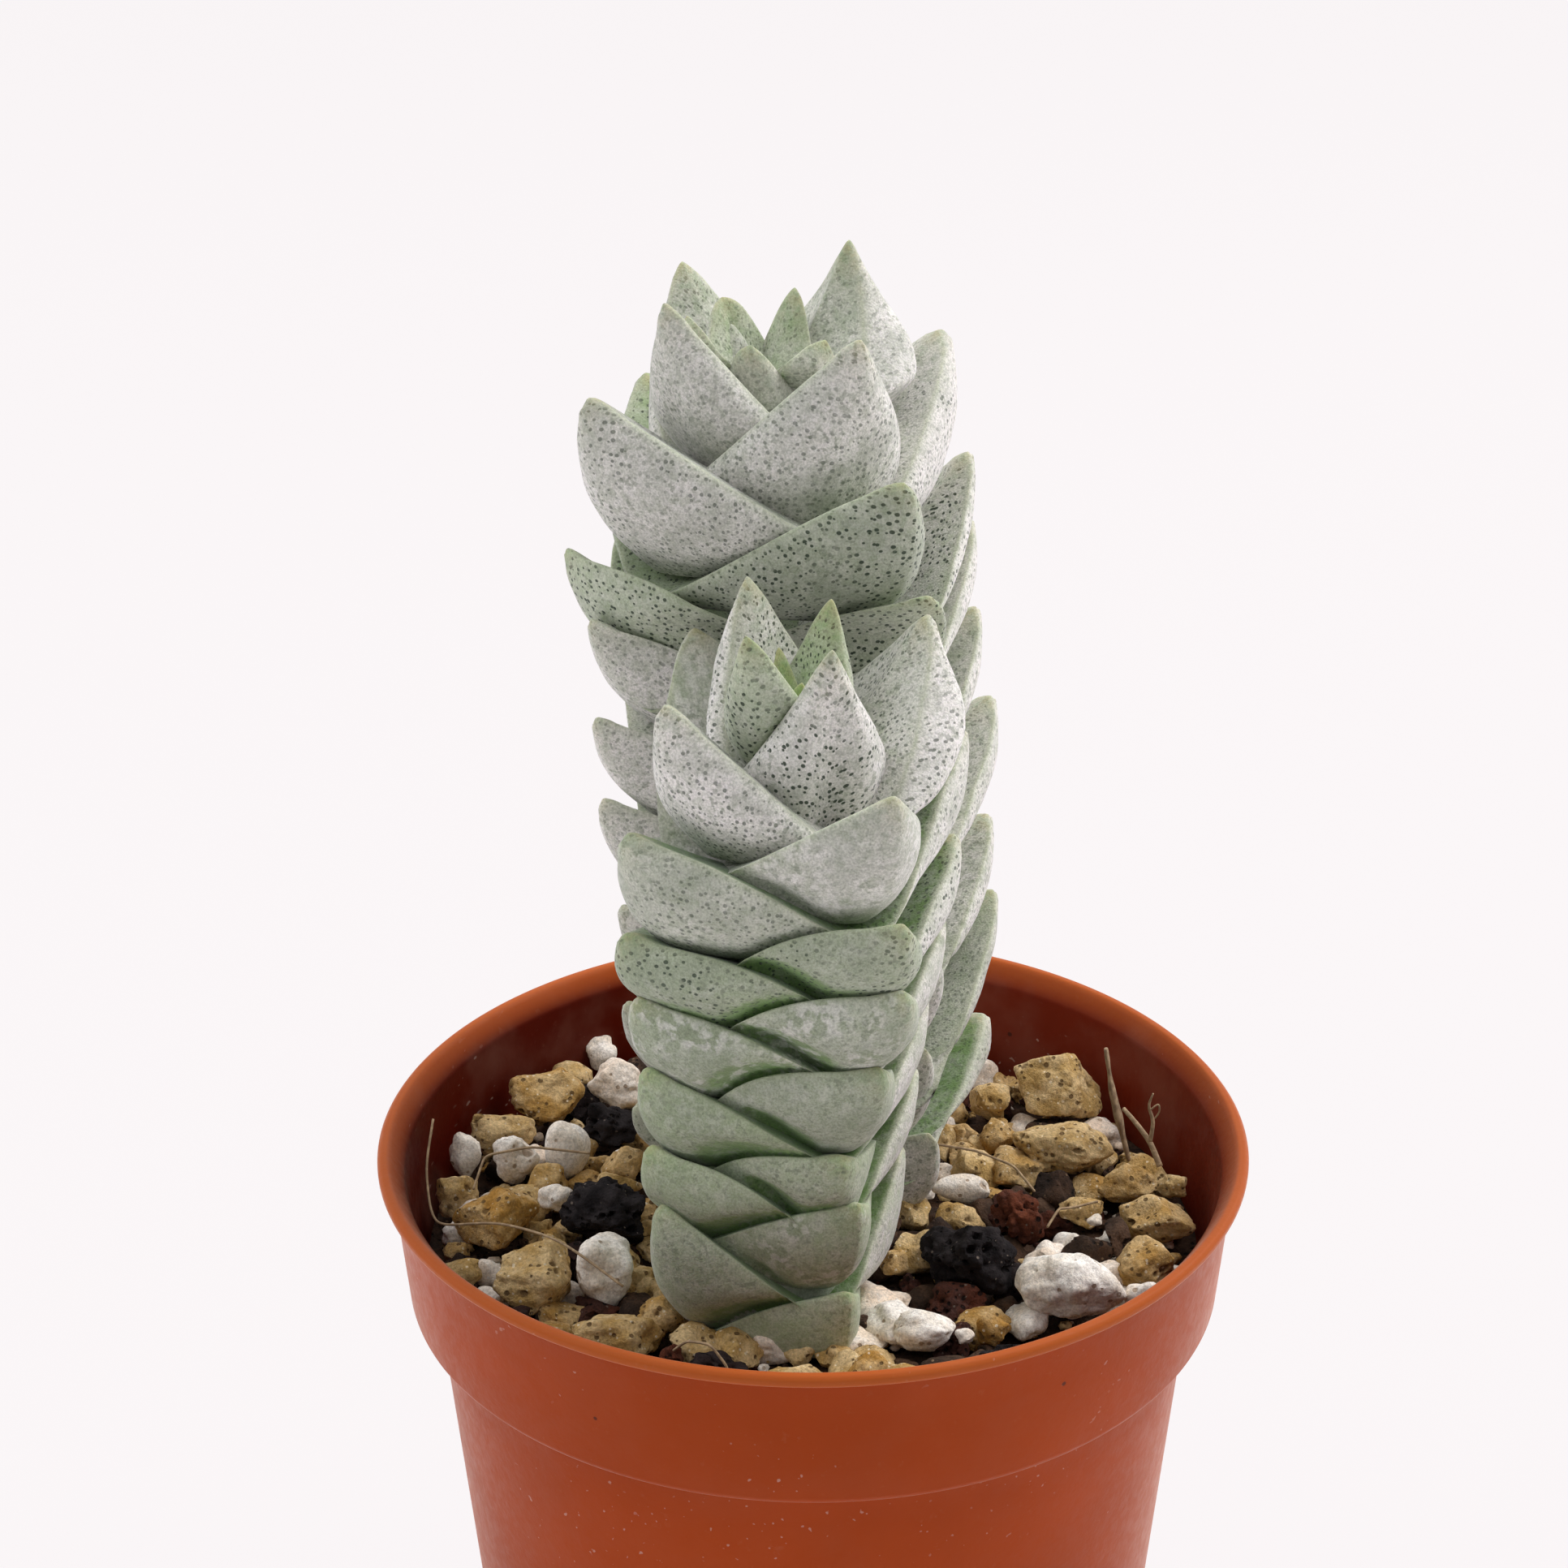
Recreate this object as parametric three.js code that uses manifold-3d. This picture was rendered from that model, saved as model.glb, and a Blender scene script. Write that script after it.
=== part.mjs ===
// A small potted succulent: two columns of stacked, keeled leaf pairs in a round plastic pot with stony grit.
// Millimetres, +Z up. The origin is the centre of the pot's foot, and the viewer stands on the -Y side.
import * as THREE from "three";
import { mergeVertices } from "three/addons/utils/BufferGeometryUtils.js";
import Module from "manifold-3d";

const wasm = await Module();
wasm.setup();

// Pot
const POT_HEIGHT = 50;
const LIP_RADIUS = 27.5;
const LIP_DEPTH = 0.75;
const COLLAR_TOP_RADIUS = 26.69;
const COLLAR_FOOT_RADIUS = 25.9;
const COLLAR_FOOT_Z = 40.3;
const BODY_TOP_RADIUS = 24.27;
const FOOT_RADIUS = 20.6;
const FOOT_RING_WIDTH = 2.4;
const FOOT_RING_DEPTH = 1.2;
const WALL = 0.85;
const FLOOR_TOP_Z = 2.2;
const POT_SIDES = 44;
const DRAIN_RADIUS = 2.6;
const DRAIN_RING_RADIUS = 12;
const DRAIN_COUNT = 6;

// Soil and stones
const FIT_GAP = 0.3;
const SOIL_TOP_Z = 42.4;
const SOIL_RELIEF = 0.25;
const SOIL_RINGS = 7;
const SOIL_SIDES = 32;
const STONE_FLOOR_Z = SOIL_TOP_Z + SOIL_RELIEF + FIT_GAP;

// Stems: radius and lowest point of the bare foot that stands in the soil
const REAR_FOOT_RADIUS = 6;
const FRONT_FOOT_RADIUS = 5;
const STEM_FOOT_Z = 34;
const LEAF_FLOOR_Z = SOIL_TOP_Z + SOIL_RELIEF + FIT_GAP;
// The two columns press together here, so the leaves between them are flattened
const FRONT_LIMIT_Y = -1.6;
const REAR_LIMIT_Y = -1.2;
const REAR_FREE_FROM_Z = 83;
const REAR_FREE_TO_Z = 90;
const REAR_FREE_BY = 6;

// Leaf pairs. Angles from one leaf tip to the saddle between the two leaves of a pair, in degrees
const QUARTER_ANGLES = [0, 5, 14, 30, 56, 90];
// Rows of points across the hollow upper face, from the axis outwards, and down the hull, from the margin
const UPPER_SHARES = [1];
const HULL_SHARES = [0.2, 0.55, 1];
const TIP_ROUNDING = 0.6;
const SADDLE_ROUNDING = 0.08;
const TIP_WIDTH = 10;
const KEEL_WIDTH = 14;
// From above a pair is a pointed oval, cos^PLAN + (sin / WAIST)^PLAN = 1, flatter round the azimuth FLAT_SIDE
const PLAN = 1.5;
const WAIST = 0.86;
const FLAT_SIDE = 78;
// A hull stays this far inside the margins of the three pairs below, and may widen upwards from them
const EMBRACE = 0.32;
const EMBRACE_OPENING = 1.1;
const EMBRACE_SOFTNESS = 0.22;
// How far the underside of a pair runs down, as a cone, into the pair below
const ROOT_DEPTH = 2.5;

const degrees = THREE.MathUtils.degToRad;
const smooth = (x) => THREE.MathUtils.smoothstep(x, 0, 1);

// A seeded generator of numbers from 0 to 1
function seeded(seed) {
  let state = seed >>> 0;
  return () => {
    state = (state * 1664525 + 1013904223) >>> 0;
    return state / 4294967296;
  };
}

function toSolid(geometry) {
  const bare = geometry.clone();
  bare.deleteAttribute("normal");
  bare.deleteAttribute("uv");
  const merged = mergeVertices(bare, 1e-4);
  return new wasm.Manifold(
    new wasm.Mesh({
      numProp: 3,
      vertProperties: new Float32Array(merged.attributes.position.array),
      triVerts: new Uint32Array(merged.index.array),
    }),
  );
}

function toGeometry(solid) {
  const mesh = solid.getMesh();
  const geometry = new THREE.BufferGeometry();
  geometry.setAttribute("position", new THREE.BufferAttribute(new Float32Array(mesh.vertProperties), 3));
  geometry.setIndex(Array.from(mesh.triVerts));
  geometry.computeVertexNormals();
  return geometry;
}

// The outermost skin of a fused solid: small hollows that the fusing sealed are filled, and loose scraps are
// dropped
function outerSkin(geometry) {
  const index = geometry.index.array;
  const parent = Array.from({ length: geometry.attributes.position.count }, (_, i) => i);
  const find = (i) => {
    while (parent[i] !== i) {
      parent[i] = parent[parent[i]];
      i = parent[i];
    }
    return i;
  };
  for (let t = 0; t < index.length; t += 3) {
    parent[find(index[t])] = find(index[t + 1]);
    parent[find(index[t + 1])] = find(index[t + 2]);
  }
  const skins = new Map();
  for (let t = 0; t < index.length; t += 3) {
    const root = find(index[t]);
    if (!skins.has(root)) skins.set(root, []);
    skins.get(root).push(index[t], index[t + 1], index[t + 2]);
  }
  const largest = [...skins.values()].sort((a, b) => b.length - a.length)[0];
  geometry.setIndex(largest);
  const bare = geometry.toNonIndexed();
  bare.deleteAttribute("normal");
  const skin = mergeVertices(bare, 1e-6);
  skin.computeVertexNormals();
  return skin;
}

// An upright cylinder between two heights
function post(x, y, radius, z0, z1, sides) {
  const geometry = new THREE.CylinderGeometry(radius, radius, z1 - z0, sides);
  geometry.rotateX(Math.PI / 2);
  geometry.translate(x, y, (z0 + z1) / 2);
  return geometry;
}

// A closed skin over rows of points, each row a ring of the same length, with a point at either end
function closedRings(rows, firstPoint, lastPoint) {
  const count = rows[0].length;
  const positions = [];
  for (const row of rows) {
    for (const point of row) positions.push(point.x, point.y, point.z);
  }
  const first = rows.length * count;
  positions.push(firstPoint.x, firstPoint.y, firstPoint.z);
  positions.push(lastPoint.x, lastPoint.y, lastPoint.z);
  const index = [];
  for (let i = 0; i < count; i++) {
    const next = (i + 1) % count;
    index.push(first, i, next);
    for (let row = 0; row + 1 < rows.length; row++) {
      const a = row * count;
      const b = a + count;
      index.push(a + i, b + i, b + next);
      index.push(a + i, b + next, a + next);
    }
    const last = (rows.length - 1) * count;
    index.push(last + i, first + 1, last + next);
  }
  const geometry = new THREE.BufferGeometry();
  geometry.setAttribute("position", new THREE.Float32BufferAttribute(positions, 3));
  geometry.setIndex(index);
  return geometry;
}

// Straight-line reading of a list of [height, x, y] along a stem's axis
function axisAt(axis, z) {
  if (z <= axis[0][0]) return { x: axis[0][1], y: axis[0][2] };
  for (let i = 1; i < axis.length; i++) {
    if (z > axis[i][0]) continue;
    const t = (z - axis[i - 1][0]) / (axis[i][0] - axis[i - 1][0]);
    return {
      x: THREE.MathUtils.lerp(axis[i - 1][1], axis[i][1], t),
      y: THREE.MathUtils.lerp(axis[i - 1][2], axis[i][2], t),
    };
  }
  const end = axis[axis.length - 1];
  return { x: end[1], y: end[2] };
}

// The margin of a pair at an angle from its front tip. From each tip it falls to the saddle between the leaves
function marginAt(stem, pair, angle) {
  const cosine = Math.cos(degrees(angle));
  const toFront = (1 + cosine) / 2;
  const isFront = cosine >= 0;
  const isOuter = Math.sin(degrees(angle)) * (pair.rank === "R" ? 1 : -1) > 0;
  const folded = Math.abs(THREE.MathUtils.euclideanModulo(angle + 90, 180) - 90);
  const widest = pair.radius * toFront + (pair.backRadius ?? pair.radius) * (1 - toFront);
  const rounding = (TIP_ROUNDING / widest) * THREE.MathUtils.RAD2DEG;
  const fromTip = Math.hypot(folded, rounding) - rounding;
  const linear = Math.min(fromTip / (90 - rounding), 1);
  const e = SADDLE_ROUNDING;
  const u = 1 - (Math.hypot(1 - linear, e) - e) / (Math.hypot(1, e) - e);
  let curve = pair.backCurve;
  if (isFront) curve = isOuter ? OUTER_CURVE : pair.curve;
  const tipZ = isFront ? pair.front : pair.back;
  const z = tipZ - (tipZ - pair.front + pair.fall) * u ** curve;
  const toFlat = Math.max(Math.cos(degrees(stem.ranks[pair.rank] + angle - FLAT_SIDE)), 0) ** 2;
  const plan = PLAN - pair.flat * toFlat;
  const long = Math.max(Math.cos(degrees(folded)), 0);
  const wide = Math.sin(degrees(folded)) / WAIST;
  const radius = widest * (long ** plan + wide ** plan) ** (-1 / plan);
  const r = radius * (pair.inset + (1 - pair.inset) * Math.exp(-fromTip / TIP_WIDTH));
  return { z, r, radius, folded, tipZ, toFront };
}

// Presses a hull's radius at an azimuth and height softly inside the margins of the pairs below it
function embraced(stem, number, azimuth, r, z) {
  const s = EMBRACE_SOFTNESS;
  let pressed = r;
  for (const below of stem.pairs.slice(Math.max(number - 3, 0), number)) {
    const straight = azimuth - stem.ranks[below.rank];
    const toFront = (1 + Math.cos(degrees(straight))) / 2;
    const low = marginAt(stem, below, straight - below.turn * toFront - below.backTurn * (1 - toFront));
    const limit = low.r - EMBRACE + EMBRACE_OPENING * Math.max(z - low.z, 0);
    const least = Math.min(pressed, limit) - s * Math.log1p(Math.exp(-Math.abs(pressed - limit) / s));
    pressed = Math.max(least, 0.3 * pressed);
  }
  return pressed;
}

// One pair of opposite leaves as a single body round the stem. Above the margin lies the hollow upper face, and
// below it the hull, a curve from the margin, out over the bulge, in to the foot
function leafPair(stem, pair, number) {
  const saddleZ = pair.front - pair.fall;
  const centreZ = saddleZ + 0.15 * pair.fall;
  const angles = [];
  for (let quarter = 0; quarter < 4; quarter++) {
    const steps = quarter % 2 ? QUARTER_ANGLES.slice(1).reverse() : QUARTER_ANGLES.slice(0, -1);
    for (const step of steps) angles.push(quarter % 2 ? (quarter + 1) * 90 - step : quarter * 90 + step);
  }
  const columns = angles.map((angle) => {
    const margin = marginAt(stem, pair, angle);
    const hull = pair.hull * margin.toFront + (pair.backHull ?? pair.hull) * (1 - margin.toFront);
    const hullR = margin.radius * (hull + (pair.keel - hull) * Math.exp(-((margin.folded / KEEL_WIDTH) ** 2)));
    const footZ = margin.tipZ - pair.depth + (saddleZ - 1 - margin.tipZ + pair.depth) * (margin.folded / 90) ** 2.2;
    const turn = pair.turn * margin.toFront + pair.backTurn * (1 - margin.toFront);
    return { margin, hullR, footZ: Math.min(footZ, margin.z - 1), azimuth: stem.ranks[pair.rank] + angle + turn };
  });
  const place = (azimuth, radius, z) => {
    const axis = axisAt(stem.axis, z);
    const x = axis.x + radius * Math.sin(degrees(azimuth));
    const y = axis.y - radius * Math.cos(degrees(azimuth));
    return stem.flatten(new THREE.Vector3(x, y, z));
  };
  const rows = [];
  for (const share of UPPER_SHARES) {
    rows.push(
      columns.map((c) => place(c.azimuth, c.margin.r * share, centreZ + (c.margin.z - centreZ) * share ** 1.35)),
    );
  }
  for (const s of HULL_SHARES) {
    rows.push(
      columns.map((c) => {
        const footR = pair.tuck * c.hullR;
        const bulgeR = (c.hullR - 0.125 * (c.margin.r + footR)) / 0.75;
        const drop = c.margin.z - c.footZ;
        const curve = new THREE.CubicBezierCurve(
          new THREE.Vector2(c.margin.r, c.margin.z),
          new THREE.Vector2(bulgeR, c.margin.z - 0.12 * drop),
          new THREE.Vector2(bulgeR, c.margin.z - pair.belly * drop),
          new THREE.Vector2(footR, c.footZ),
        );
        const p = curve.getPoint(s);
        return place(c.azimuth, embraced(stem, number, c.azimuth, p.x, p.y), p.y);
      }),
    );
  }
  const lowest = Math.min(...columns.map((c) => c.footZ));
  return closedRings(rows, place(0, 0, centreZ), place(0, 0, lowest - ROOT_DEPTH));
}

// Pushes leaves that would run into the other column back in front of, or behind, the plane between the columns
function flattenFront(point) {
  const soft = 1.5;
  const over = point.y - (FRONT_LIMIT_Y - soft);
  if (over > 0) point.y = FRONT_LIMIT_Y - soft * Math.exp(-over / soft);
  return point;
}

function flattenRear(point) {
  const soft = 2;
  const free = smooth((point.z - REAR_FREE_FROM_Z) / (REAR_FREE_TO_Z - REAR_FREE_FROM_Z));
  const limit = REAR_LIMIT_Y - REAR_FREE_BY * free;
  const over = limit + soft - point.y;
  if (over > 0) point.y = limit + soft * Math.exp(-over / soft);
  return point;
}

// How the margin of a front leaf falls on the half that faces away from the other rank
const OUTER_CURVE = 0.65;

// Shapes of leaf: high pointed ones, spreading pointed ones down the column, and blunt cushions near the soil.
// The front and back heights are those of the two tips, and the fall is from the front tip to the saddle
const HIGH = {
  fall: 6,
  curve: 0.95,
  backCurve: 0.8,
  hull: 1.02,
  depth: 10,
  inset: 0.95,
  keel: 1.04,
  belly: 0.64,
  tuck: 0.68,
  flat: 0,
  turn: 0,
  backTurn: 0,
};
const SPREADING = {
  fall: 8,
  curve: 1.3,
  backCurve: 0.8,
  hull: 0.97,
  depth: 8,
  inset: 0.97,
  keel: 0.97,
  belly: 0.64,
  tuck: 0.7,
  flat: 0.3,
  turn: 0,
  backTurn: 0,
};
const CUSHION = {
  fall: 6,
  curve: 2.2,
  backCurve: 0.9,
  hull: 1,
  depth: 7,
  inset: 0.95,
  keel: 1.01,
  belly: 0.74,
  tuck: 0.74,
  flat: 0.3,
  turn: 0,
  backTurn: 0,
};

const rearStem = {
  name: "rear_stem",
  foot: REAR_FOOT_RADIUS,
  flatten: flattenRear,
  ranks: { L: -62, R: 37 },
  axis: [
    [44, 0.6, 6.6],
    [60, 0, 6.6],
    [73, -0.9, 6.4],
    [92, -2.6, 6.2],
    [106, -3.2, 6],
  ],
  pairs: [
    { ...CUSHION, rank: "R", front: 49.5, back: 49.5, radius: 12 },
    { ...CUSHION, rank: "L", front: 51.8, back: 51.5, radius: 12.8 },
    { ...SPREADING, rank: "R", front: 55.8, back: 56, radius: 12.6 },
    { ...SPREADING, rank: "L", front: 59.1, back: 60.7, radius: 13.3, backRadius: 13.8 },
    { ...SPREADING, rank: "R", front: 62.9, back: 63.2, radius: 12.8 },
    { ...SPREADING, rank: "L", front: 65.8, back: 66.2, radius: 13, backRadius: 13.8 },
    { ...SPREADING, rank: "R", front: 69.8, back: 70.2, radius: 12.8 },
    { ...SPREADING, rank: "L", front: 73.1, back: 74.5, radius: 13.5, backRadius: 14.6, depth: 8.5 },
    { ...SPREADING, rank: "R", front: 76.6, back: 77.2, radius: 13, depth: 8.5 },
    { ...SPREADING, rank: "L", front: 78.4, back: 80.8, radius: 13.2, backRadius: 13.9 },
    { ...SPREADING, rank: "R", front: 82.3, back: 83, radius: 13 },
    { ...SPREADING, rank: "L", front: 84.7, back: 86.7, radius: 12.7, backRadius: 14 },
    {
      ...SPREADING, rank: "R", front: 87.4, back: 89.5, radius: 13.3,
      fall: 8.5, curve: 1.45, turn: 7, depth: 7.5,
    },
    {
      ...SPREADING, rank: "L", front: 88.3, back: 91.1, radius: 12.9, backRadius: 14.2,
      fall: 9.7, curve: 3.1, depth: 8.5, turn: -13,
    },
    {
      ...HIGH, rank: "R", front: 94.3, back: 95.2, radius: 12.3, flat: 0.3,
      fall: 8.1, curve: 1.13, turn: 4, hull: 0.99, depth: 9.5,
    },
    {
      ...HIGH, rank: "L", front: 98.7, back: 99.1, radius: 11.8, backRadius: 12.5,
      flat: 0.15, fall: 8.8, curve: 0.97, turn: 5, depth: 11.5,
    },
    {
      ...HIGH, rank: "R", front: 102.2, back: 103.4, radius: 9, backRadius: 7.6, belly: 0.72,
      curve: 0.93, fall: 9.8, turn: 4, hull: 1.12, depth: 13,
    },
    {
      ...HIGH, rank: "L", front: 103.6, back: 105.2, radius: 6.8, backRadius: 7, backHull: 1.5, flat: -0.3,
      backCurve: 0.65, curve: 0.9, fall: 9.3, turn: 10, backTurn: 10, hull: 1.12, depth: 10.5,
    },
    {
      ...HIGH, rank: "R", front: 100.7, back: 101.7, radius: 4.8, backRadius: 3.6, backCurve: 1.4,
      curve: 1.6, fall: 6, depth: 8, turn: 18, hull: 1.2,
    },
    {
      ...HIGH, rank: "L", front: 102.1, back: 102.3, radius: 4.7,
      backRadius: 3.7, fall: 7, depth: 8, backTurn: 26,
    },
    {
      ...HIGH, rank: "R", front: 100.3, back: 101.4, radius: 2.6, backRadius: 2,
      curve: 1.4, fall: 5, depth: 6, turn: -47, hull: 1.15,
    },
  ],
};

const frontStem = {
  name: "front_stem",
  foot: FRONT_FOOT_RADIUS,
  flatten: flattenFront,
  ranks: { L: -62, R: 35 },
  axis: [
    [44, -2.3, -9],
    [50, -2.2, -9],
    [60, -1.6, -9.2],
    [75, -1, -9.8],
    [90, -0.9, -10.4],
  ],
  pairs: [
    { ...CUSHION, rank: "R", front: 47.4, back: 46.5, radius: 8.2, curve: 1.8, fall: 4.4, depth: 7 },
    { ...CUSHION, rank: "L", front: 53, back: 52, radius: 8.6, depth: 9.5, fall: 7.7, curve: 1.1, turn: 5 },
    { ...CUSHION, rank: "R", front: 53.9, back: 54.2, radius: 8.2, fall: 4.2, curve: 1.6 },
    { ...CUSHION, rank: "L", front: 56.7, back: 57.3, radius: 9, fall: 5.9, curve: 2.2 },
    { ...CUSHION, rank: "R", front: 57.6, back: 58.1, radius: 8.6, fall: 3.8, curve: 2.8, turn: -5 },
    { ...CUSHION, rank: "L", front: 62.1, back: 62.2, radius: 9.4, fall: 5.5, curve: 1.45 },
    { ...CUSHION, rank: "R", front: 63.7, back: 64, radius: 9.6, fall: 5.6, curve: 3.4 },
    { ...CUSHION, rank: "L", front: 67.2, back: 67.4, radius: 10.2, turn: 2, fall: 5.1, curve: 1.9 },
    { ...CUSHION, rank: "R", front: 69.1, back: 70, radius: 10.6, turn: 3, fall: 6.4, curve: 2.8 },
    { ...CUSHION, rank: "L", front: 71.4, back: 72.8, radius: 10.9, fall: 4.8, curve: 2.7 },
    { ...CUSHION, rank: "R", front: 73.7, back: 75, radius: 11, fall: 8, curve: 2.5 },
    { ...CUSHION, rank: "L", front: 78, back: 79.9, radius: 11, fall: 6.1, curve: 1.55, turn: 2, depth: 8.2 },
    {
      ...CUSHION, rank: "R", front: 81.7, back: 85.3, radius: 10.3, backRadius: 10.4,
      backHull: 0.85, fall: 7.5, curve: 0.95, turn: -3, depth: 9.2,
    },
    {
      ...HIGH, rank: "L", front: 85.6, back: 87.6, radius: 8.6, backHull: 1.3,
      fall: 8.8, curve: 0.96, turn: 4, hull: 1.06,
    },
    {
      ...HIGH, rank: "R", front: 89, back: 90, radius: 5.2, backRadius: 5,
      depth: 13, fall: 9.2, curve: 0.7, hull: 1.3, turn: -13,
    },
    {
      ...HIGH, rank: "L", front: 89.2, back: 88.8, radius: 4.6, backRadius: 3.6, fall: 8,
      curve: 0.9, hull: 1.15, depth: 9, turn: 24, backTurn: 28,
    },
    { ...HIGH, rank: "R", front: 85.4, back: 86.3, radius: 1.8, fall: 5, depth: 6, turn: -25 },
  ],
};

// A column of leaf pairs fused round its stem, cut level just above the soil, with its bare foot left standing
function makeStem(stem) {
  const foot = axisAt(stem.axis, 0);
  let leaves = null;
  for (const [number, pair] of stem.pairs.entries()) {
    const solid = toSolid(leafPair(stem, pair, number));
    leaves = leaves ? leaves.add(solid) : solid;
  }
  const below = toSolid(post(foot.x, foot.y, 2 * LIP_RADIUS, 0, LEAF_FLOOR_Z, 16));
  const core = toSolid(post(foot.x, foot.y, stem.foot, STEM_FOOT_Z, LEAF_FLOOR_Z + 5, 24));
  return outerSkin(toGeometry(leaves.subtract(below).add(core)));
}

function makePot() {
  const inside = (radius) => radius - WALL;
  const profile = [
    [0, FOOT_RING_DEPTH],
    [FOOT_RADIUS - FOOT_RING_WIDTH, FOOT_RING_DEPTH],
    [FOOT_RADIUS - FOOT_RING_WIDTH + 0.3, 0],
    [FOOT_RADIUS - 0.3, 0],
    [FOOT_RADIUS, 0.4],
    [BODY_TOP_RADIUS, COLLAR_FOOT_Z - 0.3],
    [COLLAR_FOOT_RADIUS - 0.35, COLLAR_FOOT_Z - 0.2],
    [COLLAR_FOOT_RADIUS, COLLAR_FOOT_Z + 0.2],
    [COLLAR_TOP_RADIUS, POT_HEIGHT - LIP_DEPTH],
    [LIP_RADIUS - 0.15, POT_HEIGHT - LIP_DEPTH],
    [LIP_RADIUS, POT_HEIGHT - LIP_DEPTH + 0.2],
    [LIP_RADIUS, POT_HEIGHT - 0.2],
    [LIP_RADIUS - 0.2, POT_HEIGHT],
    [LIP_RADIUS - 0.65, POT_HEIGHT],
    [LIP_RADIUS - 0.85, POT_HEIGHT - 0.2],
    [inside(COLLAR_TOP_RADIUS), POT_HEIGHT - LIP_DEPTH - 0.6],
    [inside(COLLAR_FOOT_RADIUS), COLLAR_FOOT_Z + 0.7],
    [inside(BODY_TOP_RADIUS), COLLAR_FOOT_Z - 0.6],
    [inside(FOOT_RADIUS) + 0.2, FLOOR_TOP_Z + 0.5],
    [inside(FOOT_RADIUS) - 0.4, FLOOR_TOP_Z],
    [0, FLOOR_TOP_Z],
  ];
  const lathe = new THREE.LatheGeometry(
    profile.map(([r, z]) => new THREE.Vector2(r, z)),
    POT_SIDES,
  );
  lathe.rotateX(Math.PI / 2);
  let pot = toSolid(lathe);
  pot = pot.subtract(toSolid(post(0, 0, DRAIN_RADIUS, -1, FLOOR_TOP_Z + 1, 14)));
  for (let i = 0; i < DRAIN_COUNT; i++) {
    const angle = (i / DRAIN_COUNT) * 2 * Math.PI;
    const x = DRAIN_RING_RADIUS * Math.cos(angle);
    const y = DRAIN_RING_RADIUS * Math.sin(angle);
    pot = pot.subtract(toSolid(post(x, y, DRAIN_RADIUS, -1, FLOOR_TOP_Z + 1, 14)));
  }
  return toGeometry(pot);
}

// Height of the grit's surface: a few crossing waves make low lumps
function soilTop(x, y) {
  const lumps = Math.sin(1.9 * x + 0.7 * y) * Math.cos(1.6 * y - 0.6 * x) + 0.6 * Math.sin(2.7 * y + 1.3 * x + 2);
  return SOIL_TOP_Z + (SOIL_RELIEF * lumps) / 1.6;
}

function makeSoil() {
  const inside = (radius) => radius - WALL - FIT_GAP - 0.1;
  const wall = [
    [inside(COLLAR_FOOT_RADIUS), COLLAR_FOOT_Z + 1.2],
    [inside(BODY_TOP_RADIUS), COLLAR_FOOT_Z - 0.6],
    [inside(FOOT_RADIUS), FLOOR_TOP_Z + FIT_GAP + 0.3],
  ];
  const ring = (radius, height) => {
    const points = [];
    for (let i = 0; i < SOIL_SIDES; i++) {
      const angle = (i / SOIL_SIDES) * 2 * Math.PI;
      const x = radius * Math.cos(angle);
      const y = radius * Math.sin(angle);
      points.push(new THREE.Vector3(x, y, height ?? soilTop(x, y)));
    }
    return points;
  };
  const rows = [];
  for (let i = 1; i <= SOIL_RINGS; i++) rows.push(ring((inside(COLLAR_FOOT_RADIUS) * i) / SOIL_RINGS));
  for (const [radius, z] of wall) rows.push(ring(radius, z));
  const floor = new THREE.Vector3(0, 0, FLOOR_TOP_Z + FIT_GAP + 0.3);
  let soil = toSolid(closedRings(rows, new THREE.Vector3(0, 0, soilTop(0, 0)), floor));
  for (const stem of [rearStem, frontStem]) {
    const foot = axisAt(stem.axis, 0);
    const hole = post(foot.x, foot.y, stem.foot + FIT_GAP, STEM_FOOT_Z - FIT_GAP, POT_HEIGHT, 24);
    soil = soil.subtract(toSolid(hole));
  }
  return toGeometry(soil);
}

// Stones that lie on the grit: kind, centre x and y, then width, depth and height
const STONES = [
  ["pumice", -17.9, 13.1, 5.2, 4, 3.8],
  ["perlite", -13.2, 15.9, 4.2, 3.8, 3.4],
  ["lava", -13.5, 10.6, 3.6, 3.2, 3.2],
  ["pumice", -20.6, 9.4, 4.4, 3, 2.8],
  ["perlite", -19.4, 5.4, 3.2, 3, 3.8],
  ["perlite", -16.1, 6.6, 3, 3, 4],
  ["pumice", -20.2, -2.2, 5.6, 5, 4],
  ["lava", -13.4, -1.6, 5.6, 5.2, 4.2],
  ["pumice", -17.3, -9.2, 4.8, 5, 4.2],
  ["perlite", -12.9, -8.4, 3.6, 4.4, 4.6],
  ["pumice", -11.9, -14.8, 5.4, 3.4, 3],
  ["lava", -5.8, -18.4, 3.6, 2.8, 2.8],
  ["pumice", -1.2, -19.8, 4.4, 2.8, 2.6],
  ["pumice", 3.2, -19.2, 3.4, 3, 2.8],
  ["perlite", 6.6, -14.2, 3.8, 2.2, 2.4],
  ["lava", 9.6, -7.2, 6, 5.8, 4.6],
  ["perlite", 15.6, -10.6, 6.8, 5.2, 4.6],
  ["pumice", 16.8, 13.6, 6, 5.2, 4.8],
  ["pumice", 16.6, 6.6, 6.6, 4.4, 3.4],
  ["pumice", 20.6, 2.4, 4.4, 3, 3],
  ["pumice", 21.9, -2.2, 4.8, 3.2, 3],
  ["lava", 13, -1.8, 3.4, 3.2, 3.4],
  ["pumice", 20.6, -7.4, 3.8, 3.2, 3],
  ["lava", 11.9, -17.8, 4.6, 3, 2.6],
  ["pumice", -8.6, 20.6, 4.6, 3.4, 3.2],
  ["perlite", 1.4, 22, 4.4, 3.2, 3.2],
  ["pumice", 9, 20.4, 4, 3.6, 3],
];
const STONE_COLOURS = { pumice: 0xb39b6c, perlite: 0xdcd4c8, lava: 0x2c2a2e };

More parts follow.
